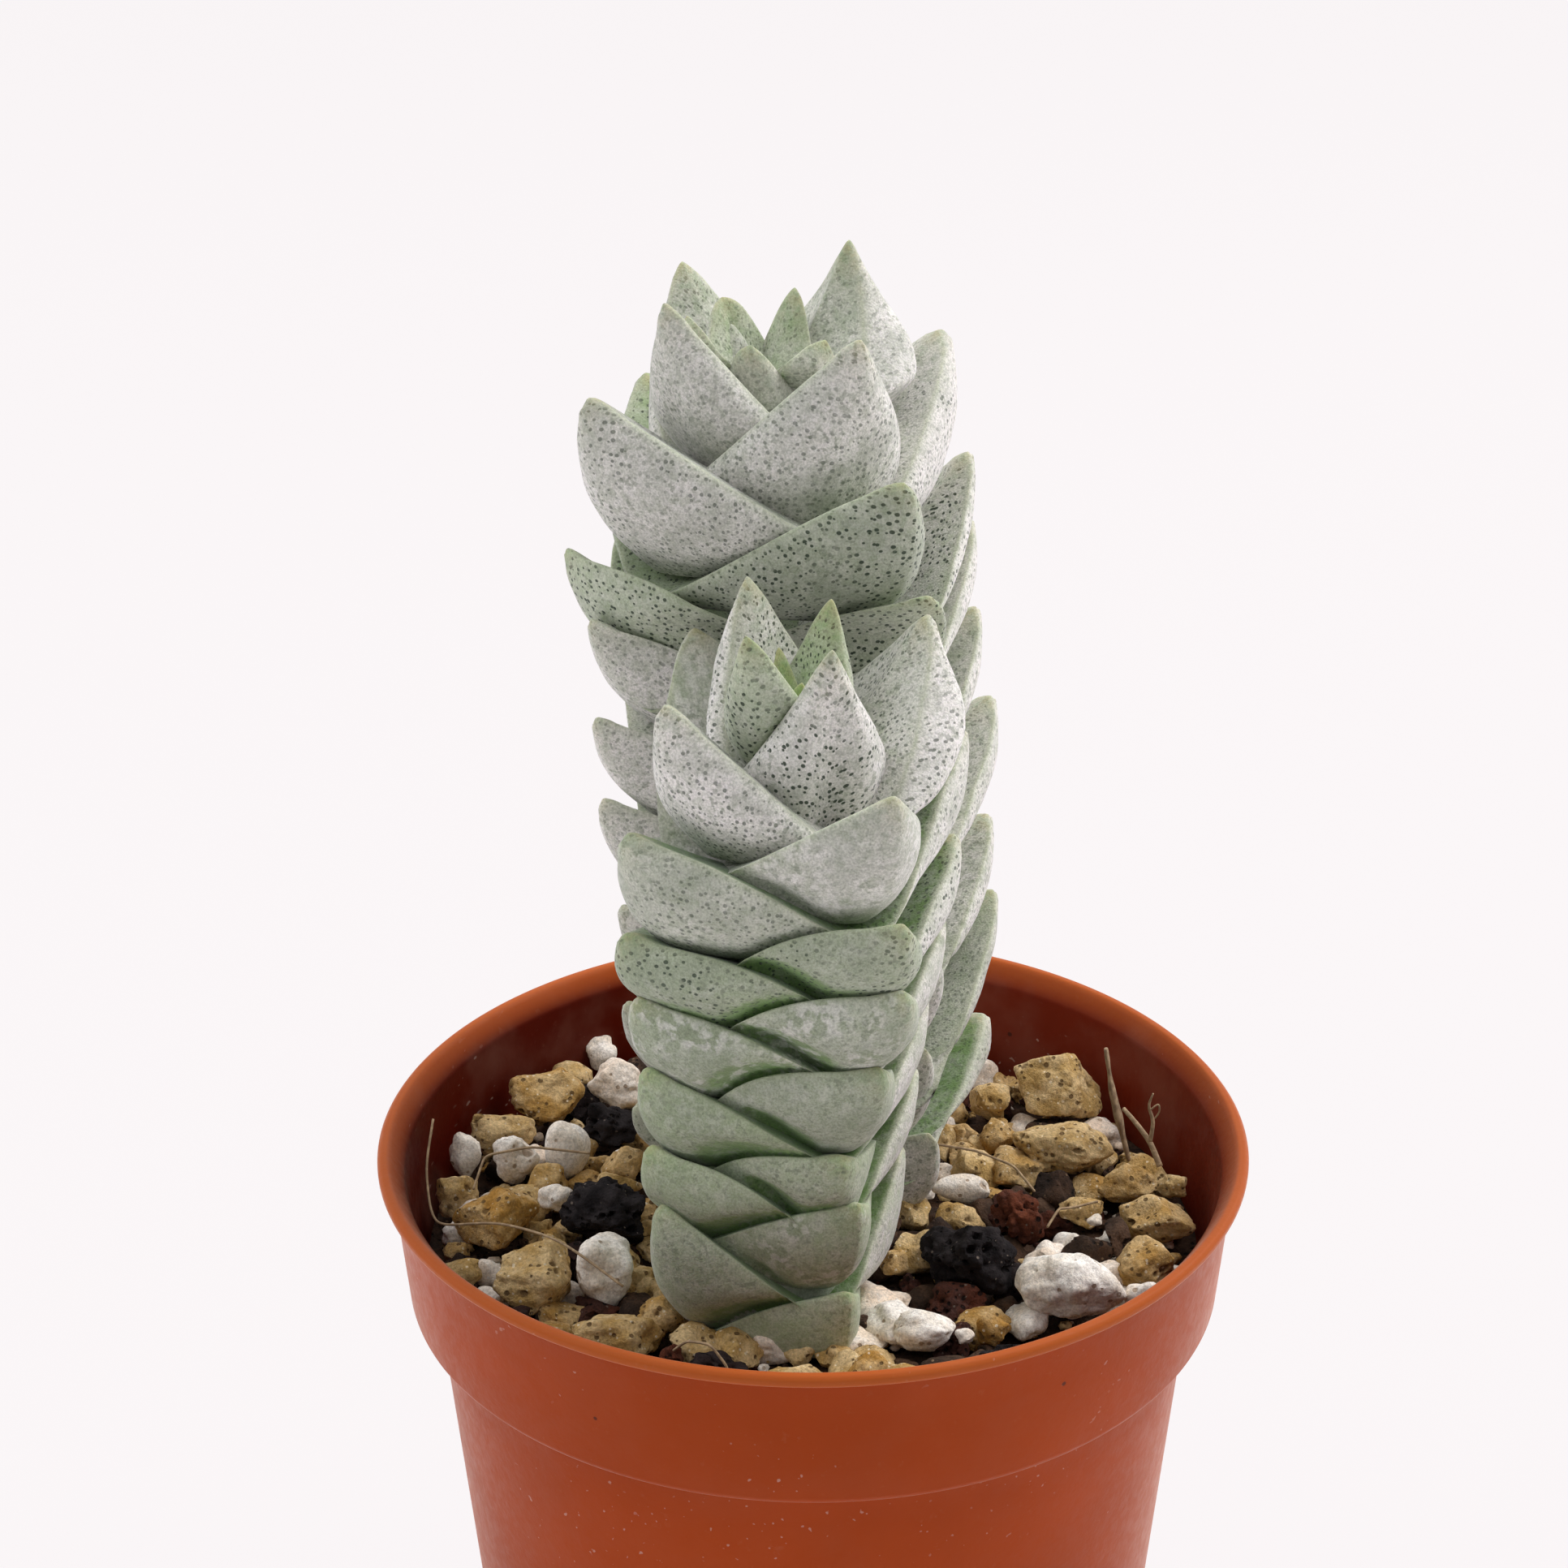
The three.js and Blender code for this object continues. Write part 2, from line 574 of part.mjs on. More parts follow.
// A rough stone: a many-sided ball, drawn out to its size, with a few flat breaks ground into it
function makeStone([kind, x, y, width, depth, height], number) {
  const random = seeded(17 + 101 * number);
  const geometry = new THREE.IcosahedronGeometry(1, width > 4.5 ? 1 : 0);
  const breaks = [];
  for (let i = 0; i < 5; i++) {
    const turn = random() * 2 * Math.PI;
    const tilt = (random() - 0.35) * 1.6;
    const way = new THREE.Vector3(Math.cos(turn) * Math.cos(tilt), Math.sin(turn) * Math.cos(tilt), Math.sin(tilt));
    breaks.push({ way, at: 0.62 + 0.25 * random() });
  }
  const swing = random() * 2 * Math.PI;
  const position = geometry.attributes.position;
  const point = new THREE.Vector3();
  for (let i = 0; i < position.count; i++) {
    point.fromBufferAttribute(position, i);
    const wobble = 1 + 0.08 * Math.sin(3 * point.x + swing) * Math.cos(4 * point.y + 2 * swing);
    point.multiplyScalar(wobble);
    for (const cut of breaks) {
      const over = point.dot(cut.way) - cut.at;
      if (over > 0) point.addScaledVector(cut.way, -0.85 * over);
    }
    position.setXYZ(i, point.x, point.y, point.z);
  }
  geometry.deleteAttribute("normal");
  geometry.deleteAttribute("uv");
  geometry.rotateZ((random() - 0.5) * 0.8);
  geometry.computeBoundingBox();
  const box = geometry.boundingBox;
  const size = box.getSize(new THREE.Vector3());
  geometry.translate(-(box.min.x + box.max.x) / 2, -(box.min.y + box.max.y) / 2, -box.min.z);
  geometry.scale(width / size.x, depth / size.y, height / size.z);
  const stone = mergeVertices(geometry, 1e-4);
  stone.computeVertexNormals();
  const color = STONE_COLOURS[kind];
  const material = new THREE.MeshStandardMaterial({ color, roughness: 0.95, metalness: 0, flatShading: true });
  const mesh = new THREE.Mesh(stone, material);
  mesh.name = `${kind}_stone_${String(number + 1).padStart(2, "0")}`;
  mesh.position.set(x, y, STONE_FLOOR_Z);
  return mesh;
}

function named(name, geometry, color, roughness) {
  const mesh = new THREE.Mesh(geometry, new THREE.MeshStandardMaterial({ color, roughness, metalness: 0 }));
  mesh.name = name;
  return mesh;
}

const group = new THREE.Group();
group.add(named("pot", makePot(), 0xa04e2c, 0.5));
group.add(named("soil", makeSoil(), 0x3d342c, 0.95));
group.add(named("rear_stem", makeStem(rearStem), 0x9ba698, 0.8));
group.add(named("front_stem", makeStem(frontStem), 0xa1ab9f, 0.8));
STONES.forEach((stone, number) => group.add(makeStone(stone, number)));

export default group;
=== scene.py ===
"""A small potted succulent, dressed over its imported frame.

Two columns of stacked, keeled, waxy leaf pairs stand in a thin terracotta-coloured plastic pot that is filled with dark
grit and topped with rough stones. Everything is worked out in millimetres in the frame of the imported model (+Z up, the
viewer on the -Y side) and is turned into metres when its mesh is made.
"""

import logging
import math
from dataclasses import dataclass, field, replace
from enum import Enum
from itertools import product

import bpy
import numpy as np
from mathutils import Matrix, Vector

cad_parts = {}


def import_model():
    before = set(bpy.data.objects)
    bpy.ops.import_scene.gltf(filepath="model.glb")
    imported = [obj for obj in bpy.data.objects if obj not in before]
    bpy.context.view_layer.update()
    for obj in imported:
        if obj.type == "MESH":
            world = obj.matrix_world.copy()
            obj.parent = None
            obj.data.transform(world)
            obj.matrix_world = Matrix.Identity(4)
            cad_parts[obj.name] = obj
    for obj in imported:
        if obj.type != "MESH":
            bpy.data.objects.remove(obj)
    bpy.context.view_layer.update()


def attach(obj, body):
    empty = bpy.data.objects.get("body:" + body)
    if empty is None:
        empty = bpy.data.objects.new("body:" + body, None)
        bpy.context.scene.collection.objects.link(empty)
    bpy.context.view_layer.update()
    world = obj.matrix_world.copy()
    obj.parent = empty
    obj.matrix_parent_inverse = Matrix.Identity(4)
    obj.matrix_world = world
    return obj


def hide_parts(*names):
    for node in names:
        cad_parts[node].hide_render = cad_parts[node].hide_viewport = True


MM = 0.001
DEGREES_PER_RADIAN = 57.3
GOLDEN_TURN = 2.39996
STONE_CREASE = 38.0
LOG = logging.getLogger("potted_succulent")
Colour = tuple[float, float, float]
Triples = tuple[tuple[float, float, float], ...]
Material, Node, Object = bpy.types.Material, bpy.types.Node, bpy.types.Object
Socket, Tree = bpy.types.NodeSocket, bpy.types.NodeTree


# Numbers that vary over space


def cell_numbers(cells: np.ndarray, seed: int) -> np.ndarray:
    """Gives every whole-number cell its own number from 0 to 1, by mixing the bits of its coordinates.

    Args:
        cells: Whole numbers, shape (..., 3).
        seed: Picks one of many such sets of numbers.

    Returns:
        One number per cell, shape (...).
    """
    n = cells.astype(np.int64).astype(np.uint64)
    h = n[..., 0] * np.uint64(374761393) + n[..., 1] * np.uint64(668265263)
    h = h + n[..., 2] * np.uint64(2246822519) + np.uint64(seed * 3266489917 % (1 << 32))
    h = (h ^ (h >> np.uint64(13))) * np.uint64(1274126177)
    h = h ^ (h >> np.uint64(16))
    return (h & np.uint64(0xFFFFFF)).astype(float) / 0xFFFFFF


def soft_noise(points: np.ndarray, seed: int) -> np.ndarray:
    """Smooth noise from -1 to 1: cell corner numbers, blended with the curve 3t^2 - 2t^3 along each axis.

    Args:
        points: Places, shape (..., 3), one cell per unit.
        seed: Picks the noise.

    Returns:
        One value per place, shape (...).
    """
    cell = np.floor(points)
    part = points - cell
    part = part * part * (3 - 2 * part)
    total = np.zeros(points.shape[:-1])
    for corner in product((0, 1), repeat=3):
        share = np.prod(np.where(corner, part, 1 - part), axis=-1)
        total += share * cell_numbers(cell + corner, seed)
    return total * 2 - 1


def layered_noise(points: np.ndarray, layers: int, seed: int) -> np.ndarray:
    """Sum of soft noises, each layer twice as fine and half as strong as the one before.

    Args:
        points: Places, shape (..., 3), one cell of the coarsest layer per unit.
        layers: How many layers.
        seed: Picks the noise.

    Returns:
        One value per place, about -1 to 1.
    """
    return sum(soft_noise(points * 2.0**k + 17.3 * k, seed + k) / 2**k for k in range(layers)) / 1.6


def nearest_seed(points: np.ndarray, seed: int) -> tuple[np.ndarray, np.ndarray]:
    """Distance from each place to the nearest of one random point per cell, and that cell's own number.

    Args:
        points: Places, shape (..., 3), one cell per unit.
        seed: Picks the random points.

    Returns:
        The distances and the numbers, each shape (...).
    """
    cell = np.floor(points)
    best = np.full(points.shape[:-1], 9.0)
    number = np.zeros(points.shape[:-1])
    for step in product((-1, 0, 1), repeat=3):
        near = cell + step
        spot = np.stack([cell_numbers(near, seed + k) for k in range(3)], axis=-1)
        distance = np.linalg.norm(near + spot - points, axis=-1)
        closer = distance < best
        best = np.where(closer, distance, best)
        number = np.where(closer, cell_numbers(near, seed + 7), number)
    return best, number


def smooth_step(x: np.ndarray | float) -> np.ndarray:
    """The curve 3x^2 - 2x^3, held at 0 below 0 and at 1 above 1.

    Args:
        x: The values.

    Returns:
        The curve's values.
    """
    x = np.clip(x, 0, 1)
    return x * x * (3 - 2 * x)


# Skins and meshes


@dataclass
class Skin:
    """A closed skin of quads and triangles, with values per point and a flat map per face corner.

    The corner map lists the corners of all quads and then those of all triangles, in millimetres.
    """

    points: np.ndarray
    quads: np.ndarray
    triangles: np.ndarray = field(default_factory=lambda: np.zeros((0, 3), int))
    values: dict[str, np.ndarray] = field(default_factory=dict)
    corner_map: np.ndarray | None = None

    def shifted(self, x: float, y: float, z: float) -> "Skin":
        """The same skin, moved by x, y and z."""
        return replace(self, points=self.points + np.array([x, y, z]))


def joined(skins: list[Skin]) -> Skin:
    """Puts several skins in one, with their points and faces one after the other.

    Args:
        skins: The skins, all with the same named values.

    Returns:
        One skin.
    """
    starts = np.cumsum([0] + [len(s.points) for s in skins[:-1]])
    maps = None
    if skins[0].corner_map is not None:
        quad_part = [s.corner_map[: 4 * len(s.quads)] for s in skins]
        rest_part = [s.corner_map[4 * len(s.quads) :] for s in skins]
        maps = np.concatenate(quad_part + rest_part)
    return Skin(
        points=np.concatenate([s.points for s in skins]),
        quads=np.concatenate([s.quads + a for s, a in zip(skins, starts)]),
        triangles=np.concatenate([s.triangles + a for s, a in zip(skins, starts)]),
        values={name: np.concatenate([s.values[name] for s in skins]) for name in skins[0].values},
        corner_map=maps,
    )


def ring_skin(
    grid: np.ndarray,
    first: np.ndarray,
    last: np.ndarray,
    values: dict[str, np.ndarray] | None = None,
    across: np.ndarray | None = None,
    along: np.ndarray | None = None,
) -> Skin:
    """Closes a grid of rings into a skin, with a point at either end.

    Args:
        grid: Rings of points, shape (rows, columns, 3), each ring closed on itself.
        first: The point inside the first ring.
        last: The point inside the last ring.
        values: Named values on the grid, shape (rows, columns). The end points take their ring's mean.
        across: Map distance of each column and of the closing one, shape (rows, columns + 1).
        along: Map distance of each row, shape (rows, columns + 1).

    Returns:
        The closed skin, whose faces point outwards if the rings run anticlockwise and the rows lead outwards.
    """
    rows, columns = grid.shape[:2]
    i, j = np.meshgrid(np.arange(rows - 1), np.arange(columns), indexing="ij")
    k = (j + 1) % columns
    quads = np.stack([i * columns + j, (i + 1) * columns + j, (i + 1) * columns + k, i * columns + k], -1)
    around = np.arange(columns)
    after = (around + 1) % columns
    top, bottom = rows * columns, rows * columns + 1
    low = (rows - 1) * columns
    fans = [
        np.stack([np.full(columns, top), around, after], -1),
        np.stack([low + around, np.full(columns, bottom), low + after], -1),
    ]
    corner_map = None
    if across is not None:
        flat = np.stack([across, along], -1)
        quad_map = np.stack([flat[i, j], flat[i + 1, j], flat[i + 1, j + 1], flat[i, j + 1]], -2)
        ends = [np.stack([flat[r, around], flat[r, around], flat[r, around + 1]], -2) for r in (0, rows - 1)]
        corner_map = np.concatenate([part.reshape(-1, 2) for part in (quad_map, *ends)])
    named = {
        name: np.concatenate([v.ravel(), [v[0].mean(), v[-1].mean()]]) for name, v in (values or {}).items()
    }
    points = np.concatenate([grid.reshape(-1, 3), [first, last]])
    return Skin(points, quads.reshape(-1, 4), np.concatenate(fans), named, corner_map)


def new_mesh(skin: Skin, name: str) -> bpy.types.Mesh:
    """Turns a skin into a bare mesh, in metres.

    Args:
        skin: The skin, in millimetres.
        name: The mesh's name.

    Returns:
        The mesh.
    """
    mesh = bpy.data.meshes.new(name)
    mesh.from_pydata((skin.points * MM).tolist(), [], skin.quads.tolist() + skin.triangles.tolist())
    return mesh


def new_object(name: str, data: bpy.types.ID) -> Object:
    """Makes an object of a mesh, a light or a camera and links it to the scene.

    Args:
        name: The object's name.
        data: The mesh, light or camera.

    Returns:
        The object.
    """
    made = bpy.data.objects.new(name, data)
    bpy.context.scene.collection.objects.link(made)
    return made


def make_piece(skin: Skin, name: str, material: Material, crease: float | None = None) -> Object:
    """Turns a skin into a piece of the object, in metres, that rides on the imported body.

    Args:
        skin: The skin, in millimetres.
        name: The piece's name.
        material: Its finish.
        crease: Angle in degrees past which an edge is shaded sharp, or None for a smooth skin.

    Returns:
        The new object.
    """
    mesh = new_mesh(skin, name)
    for key, value in skin.values.items():
        mesh.attributes.new(key, "FLOAT", "POINT").data.foreach_set("value", value.astype(np.float32))
    if skin.corner_map is not None:
        layer = mesh.uv_layers.new(name="surface")
        layer.data.foreach_set("uv", (skin.corner_map * 0.1).astype(np.float32).ravel())
    mesh.polygons.foreach_set("use_smooth", np.ones(len(mesh.polygons), bool))
    mesh.update()
    if crease is not None:
        mesh.set_sharp_from_angle(angle=math.radians(crease))
    mesh.materials.append(material)
    piece = new_object(name, mesh)
    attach(piece, "root")
    LOG.info("piece %s: %d triangles", name, 2 * len(skin.quads) + len(skin.triangles))
    return piece


# Shader wiring


class Web:
    """Adds nodes to one node tree and wires them, taking plain numbers and sockets alike."""

    def __init__(self, tree: Tree) -> None:
        """Keeps the tree that the nodes go into."""
        self.tree = tree

    def feed(self, socket: Socket, value: object) -> None:
        """Links the value to the socket if it is a socket itself, and sets it there otherwise.

        Args:
            socket: The socket that is fed.
            value: A socket, a number, or a colour or vector of three or four numbers.
        """
        if isinstance(value, Socket):
            self.tree.links.new(value, socket)
        elif socket.type == "RGBA" and len(value) == 3:
            socket.default_value = (*value, 1)
        else:
            socket.default_value = value

    def add(self, kind: str, inputs: dict[str | int, object] | None = None, **settings: object) -> Node:
        """Adds one node.

        Args:
            kind: The node's type name.
            inputs: Values or sockets by input name or number.
            **settings: Properties of the node.

        Returns:
            The node.
        """
        node = self.tree.nodes.new(kind)
        for key, value in settings.items():
            setattr(node, key, value)
        for key, value in (inputs or {}).items():
            self.feed(node.inputs[key], value)
        return node

    def sums(self, operation: str, a: object, b: object) -> Socket:
        """One step of arithmetic, held between 0 and 1.

        Args:
            operation: ADD, SUBTRACT, MULTIPLY or LESS_THAN.
            a: The first value.
            b: The second value.

        Returns:
            The result's socket.
        """
        return self.add("ShaderNodeMath", {0: a, 1: b}, operation=operation, use_clamp=True).outputs[0]

    def times(self, a: object, b: object) -> Socket:
        """The product of two values, held between 0 and 1."""
        return self.sums("MULTIPLY", a, b)

    def plus(self, a: object, b: object) -> Socket:
        """The sum of two values, held between 0 and 1."""
        return self.sums("ADD", a, b)

    def minus(self, a: object, b: object) -> Socket:
        """The difference of two values, held between 0 and 1."""
        return self.sums("SUBTRACT", a, b)

    def free(self, operation: str, *values: object) -> Socket:
        """One step of arithmetic that may leave the range from 0 to 1."""
        return self.add("ShaderNodeMath", dict(enumerate(values)), operation=operation).outputs[0]

    def blend(self, share: object, a: object, b: object, mode: str = "MIX") -> Socket:
        """Blends two colours.

        Args:
            share: How much of the second colour.
            a: The first colour.
            b: The second colour.
            mode: How they blend.

        Returns:
            The colour's socket.
        """
        node = self.add("ShaderNodeMix", data_type="RGBA", blend_type=mode)
        for key, value in ((0, share), (6, a), (7, b)):
            self.feed(node.inputs[key], value)
        return node.outputs[2]

    def between(self, value: object, low: object, high: object, start: object = 0.0, end: object = 1.0) -> Socket:
        """Smooth climb from start, where the value is low, to end, where it is high.

        Args:
            value: The value that is read.
            low: Where the climb starts.
            high: Where it ends.
            start: The result below low.
            end: The result above high.

        Returns:
            The result's socket.
        """
        inputs = {"Value": value, "From Min": low, "From Max": high, "To Min": start, "To Max": end}
        return self.add("ShaderNodeMapRange", inputs, interpolation_type="SMOOTHSTEP").outputs[0]

    def noise(self, place: object, per_mm: float, detail: float = 3.0, roughness: float = 0.55) -> Socket:
        """Noise in space with so many features per millimetre.

        Args:
            place: Coordinates in metres.
            per_mm: Features per millimetre.
            detail: How many finer layers.
            roughness: How strong the finer layers are.

        Returns:
            The noise's socket, about 0.2 to 0.8.
        """
        inputs = {"Vector": place, "Scale": per_mm / MM, "Detail": detail, "Roughness": roughness}
        return self.add("ShaderNodeTexNoise", inputs).outputs[0]

    def value(self, name: str) -> Socket:
        """The socket of a value that the mesh carries per point."""
        return self.add("ShaderNodeAttribute", attribute_name=name).outputs[2]

    def bump(self, shader: Node, height: object, strength: float, distance: float) -> None:
        """Makes the shader's surface look raised by the height, over a distance in millimetres."""
        node = self.add("ShaderNodeBump", {"Height": height, "Strength": strength, "Distance": distance * MM})
        self.feed(shader.inputs["Normal"], node.outputs[0])


def new_group(name: str, inputs: dict[str, float | None], outputs: dict[str, str]) -> tuple[Tree, Web]:
    """Starts a shader node group.

    Args:
        name: The group's name.
        inputs: Name to default number, or None for a vector.
        outputs: Name to socket type.

    Returns:
        The group and the web that wires it. Its nodes named In and Out are its ends.
    """
    group = bpy.data.node_groups.new(name, "ShaderNodeTree")
    for key, default in inputs.items():
        kind = "NodeSocketVector" if default is None else "NodeSocketFloat"
        socket = group.interface.new_socket(key, in_out="INPUT", socket_type=kind)
        if default is not None:
            socket.default_value = default
    for key, kind in outputs.items():
        group.interface.new_socket(key, in_out="OUTPUT", socket_type=kind)
    web = Web(group)
    web.add("NodeGroupInput", name="In")
    web.add("NodeGroupOutput", name="Out")
    return group, web


def spots_group(dimensions: str) -> Tree:
    """Round spots: within Size of a random point per cell, kept only where that cell's number is below Share.

    Args:
        dimensions: 3D for spots in space, or 2D for spots on a flat map.

    Returns:
        The group, with the inputs Vector, Scale, Size, Soft and Share, and the output Mask.
    """
    inputs = {"Vector": None, "Scale": 1.0, "Size": 0.2, "Soft": 0.06, "Share": 1.0}
    group, web = new_group(f"Spots{dimensions}", inputs, {"Mask": "NodeSocketFloat"})
    given = group.nodes["In"].outputs
    inputs = {key: given[key] for key in ("Vector", "Scale")}
    cells = web.add("ShaderNodeTexVoronoi", inputs, voronoi_dimensions=dimensions)
    number = web.add("ShaderNodeSeparateColor", {0: cells.outputs["Color"]})
    size = web.times(given["Size"], web.between(number.outputs[1], 0.0, 1.0, 0.55, 1.35))
    edge = web.plus(size, given["Soft"])
    spot = web.between(cells.outputs["Distance"], size, edge, 1.0, 0.0)
    kept = web.sums("LESS_THAN", number.outputs[0], given["Share"])
    web.feed(group.nodes["Out"].inputs["Mask"], web.times(spot, kept))
    return group


def patches_group() -> Tree:
    """Cloudy patches: layered noise that climbs from 0 to 1 round a threshold.

    Returns:
        The group, with the inputs Vector, Scale, Threshold, Soft and Detail, and the output Mask.
    """
    inputs = {"Vector": None, "Scale": 1.0, "Threshold": 0.5, "Soft": 0.1, "Detail": 4.0}
    group, web = new_group("Patches", inputs, {"Mask": "NodeSocketFloat"})
    given = group.nodes["In"].outputs
    noise = web.add("ShaderNodeTexNoise", {key: given[key] for key in ("Vector", "Scale", "Detail")})
    low = web.minus(given["Threshold"], given["Soft"])
    high = web.plus(given["Threshold"], given["Soft"])
    web.feed(group.nodes["Out"].inputs["Mask"], web.between(noise.outputs[0], low, high))
    return group


class SharedEffects:
    """The node groups that several finishes use, made once."""

    def __init__(self) -> None:
        """Builds the groups."""
        self.spots = spots_group("3D")
        self.dots = spots_group("2D")
        self.patches = patches_group()

    def cloudy(self, web: Web, at: Socket, per_mm: float, threshold: float, soft: float, detail: float = 4.0) -> Socket:
        """Puts cloudy patches in a material's web, whose noise has so many features per millimetre."""
        inputs = {"Vector": at, "Scale": per_mm / MM, "Threshold": threshold, "Soft": soft, "Detail": detail}
        return self.place(web, self.patches, inputs)

    def spotted(self, web: Web, at: Socket, per_mm: float, size: float, soft: float, share: float) -> Socket:
        """Puts round spots in a material's web, with so many cells per millimetre."""
        inputs = {"Vector": at, "Scale": per_mm / MM, "Size": size, "Soft": soft, "Share": share}
        return self.place(web, self.spots, inputs)

    def place(self, web: Web, group: Tree, inputs: dict[str, object]) -> Socket:
        """Puts one group in a material's web.

        Args:
            web: The material's web.
            group: The group.
            inputs: Its values.

        Returns:
            The socket of its mask.
        """
        node = web.add("ShaderNodeGroup", node_tree=group)
        for key, value in inputs.items():
            web.feed(node.inputs[key], value)
        return node.outputs[0]


def new_material(name: str, roughness: float, settings: dict[str, object]) -> tuple[Material, Web, Node, Socket]:
    """Starts a material.

    Args:
        name: The material's name.
        roughness: Plain roughness on the shader's own socket.
        settings: Other plain values on the shader's own sockets.

    Returns:
        The material, its web, its shader and the socket of the object's coordinates.
    """
    material = bpy.data.materials.new(name)
    material.use_nodes = True
    web = Web(material.node_tree)
    shader = material.node_tree.nodes["Principled BSDF"]
    shader.inputs["Roughness"].default_value = roughness
    for key, value in settings.items():
        web.feed(shader.inputs[key], value)
    place = web.add("ShaderNodeTexCoord").outputs["Object"]
    return material, web, shader, place


# Finishes


@dataclass(frozen=True)
class LeafWax:
    """Thick grey-green leaf skin under a whitish bloom, with dark green dots and rubbed patches."""

    shade: Colour = (0.15, 0.27, 0.08)
    fresh: Colour = (0.27, 0.39, 0.16)
    dusty: Colour = (0.19, 0.228, 0.158)
    bloom: Colour = (0.8, 0.77, 0.755)
    # Margin line colour: partly the margin's own paler tone, partly a painted highlight on its rounded edge.
    margin: Colour = (0.5, 0.54, 0.38)
    dot: Colour = (0.035, 0.055, 0.035)
    dots_per_mm: float = 2.1

    def make(self, effects: SharedEffects) -> Material:
        """Builds the material.

        Green shows at margins, tips, on upper faces and low on the plant, bloom lies over the rest in clouds, and dots
        sit on the surface map so that they stay round.

        Args:
            effects: The shared node groups.

        Returns:
            The material.
        """
        material, web, shader, place = new_material(
            "leaf_wax",
            0.72,
            {
                "Specular IOR Level": 0.28,
                "Subsurface Weight": 0.12,
                "Subsurface Radius": (0.6, 0.9, 0.35),
                "Subsurface Scale": 1.2 * MM,
                "Sheen Weight": 0.18,
                "Sheen Roughness": 0.45,
                "Sheen Tint": (0.93, 0.9, 1.0),
            },
        )
        surface = web.add("ShaderNodeUVMap", uv_map="surface").outputs[0]
        cloud = web.noise(place, 0.33, 4.0, 0.6)
        streak = web.noise(place, 1.4, 3.0, 0.6)
        grain = web.noise(place, 7.5, 2.0, 0.7)
        edge, face, tip = web.value("edge"), web.value("face"), web.value("tip")
        green = web.plus(web.value("green"), web.times(web.minus(cloud, 0.42), 1.1))
        green = web.plus(green, web.times(face, 0.35))
        green = web.plus(green, web.times(tip, 0.3))
        colour = web.blend(green, self.dusty, self.fresh)
        colour = web.blend(web.times(face, web.value("deep")), colour, self.shade)
        bloom = web.times(web.value("bloom"), web.between(cloud, 0.25, 0.62, 0.72, 1.2))
        bloom = web.times(bloom, web.between(streak, 0.25, 0.65, 0.72, 1.12))
        bloom = web.minus(bloom, web.times(face, web.times(web.value("deep"), 0.8)))
        bloom = web.minus(bloom, web.times(tip, 0.3))
        bloom = web.minus(bloom, web.times(edge, 0.1))
        bloom = web.times(bloom, web.between(grain, 0.35, 0.6, 0.86, 1.04))
        colour = web.blend(bloom, colour, self.bloom)
        scrape = effects.cloudy(web, place, 0.42, 0.5, 0.1)
        scrape = web.times(scrape, web.value("scrape"))
        flakes = effects.cloudy(web, place, 1.5, 0.52, 0.09)
        colour = web.blend(web.times(scrape, web.times(flakes, 0.7)), colour, (0.72, 0.71, 0.68))
        bare = web.times(scrape, web.minus(0.55, flakes))
        colour = web.blend(bare, colour, (0.25, 0.3, 0.19))
        where = web.between(web.noise(place, 0.22, 2.0), 0.3, 0.55, 0.35, 1.15)
        strength = web.times(web.value("dots"), where)
        strength = web.times(strength, web.between(edge, 0.2, 0.9, 1.0, 0.25))
        spots = {"Vector": surface, "Scale": 10 * self.dots_per_mm, "Size": 0.16, "Soft": 0.1, "Share": 0.85}
        dots = web.times(effects.place(web, effects.dots, spots), strength)
        colour = web.blend(web.times(dots, 0.95), colour, self.dot)
        flecks = effects.cloudy(web, place, 2.6, 0.6, 0.06, 2.0)
        colour = web.blend(web.times(flecks, web.between(cloud, 0.35, 0.6, 0.12, 0.55)), colour, (0.2, 0.23, 0.17))
        # Pale margin line: partly the margin's own tone, partly a painted highlight on its rounded edge.
        colour = web.blend(web.times(edge, web.between(streak, 0.3, 0.6, 0.35, 0.6)), colour, self.margin)
        colour = web.blend(web.times(tip, web.between(streak, 0.35, 0.6, 0.1, 0.6)), colour, (0.42, 0.36, 0.17))
        colour = web.blend(0.4, colour, web.between(grain, 0.3, 0.7, 0.62, 1.3), "MULTIPLY")
        web.feed(shader.inputs["Base Color"], colour)
        papillae = web.add("ShaderNodeTexVoronoi", {"Vector": place, "Scale": 7.0 / MM}).outputs["Distance"]
        height = web.free("SUBTRACT", web.free("SUBTRACT", grain, papillae), web.times(dots, 0.5))
        web.bump(shader, height, 0.32, 0.07)
        return material


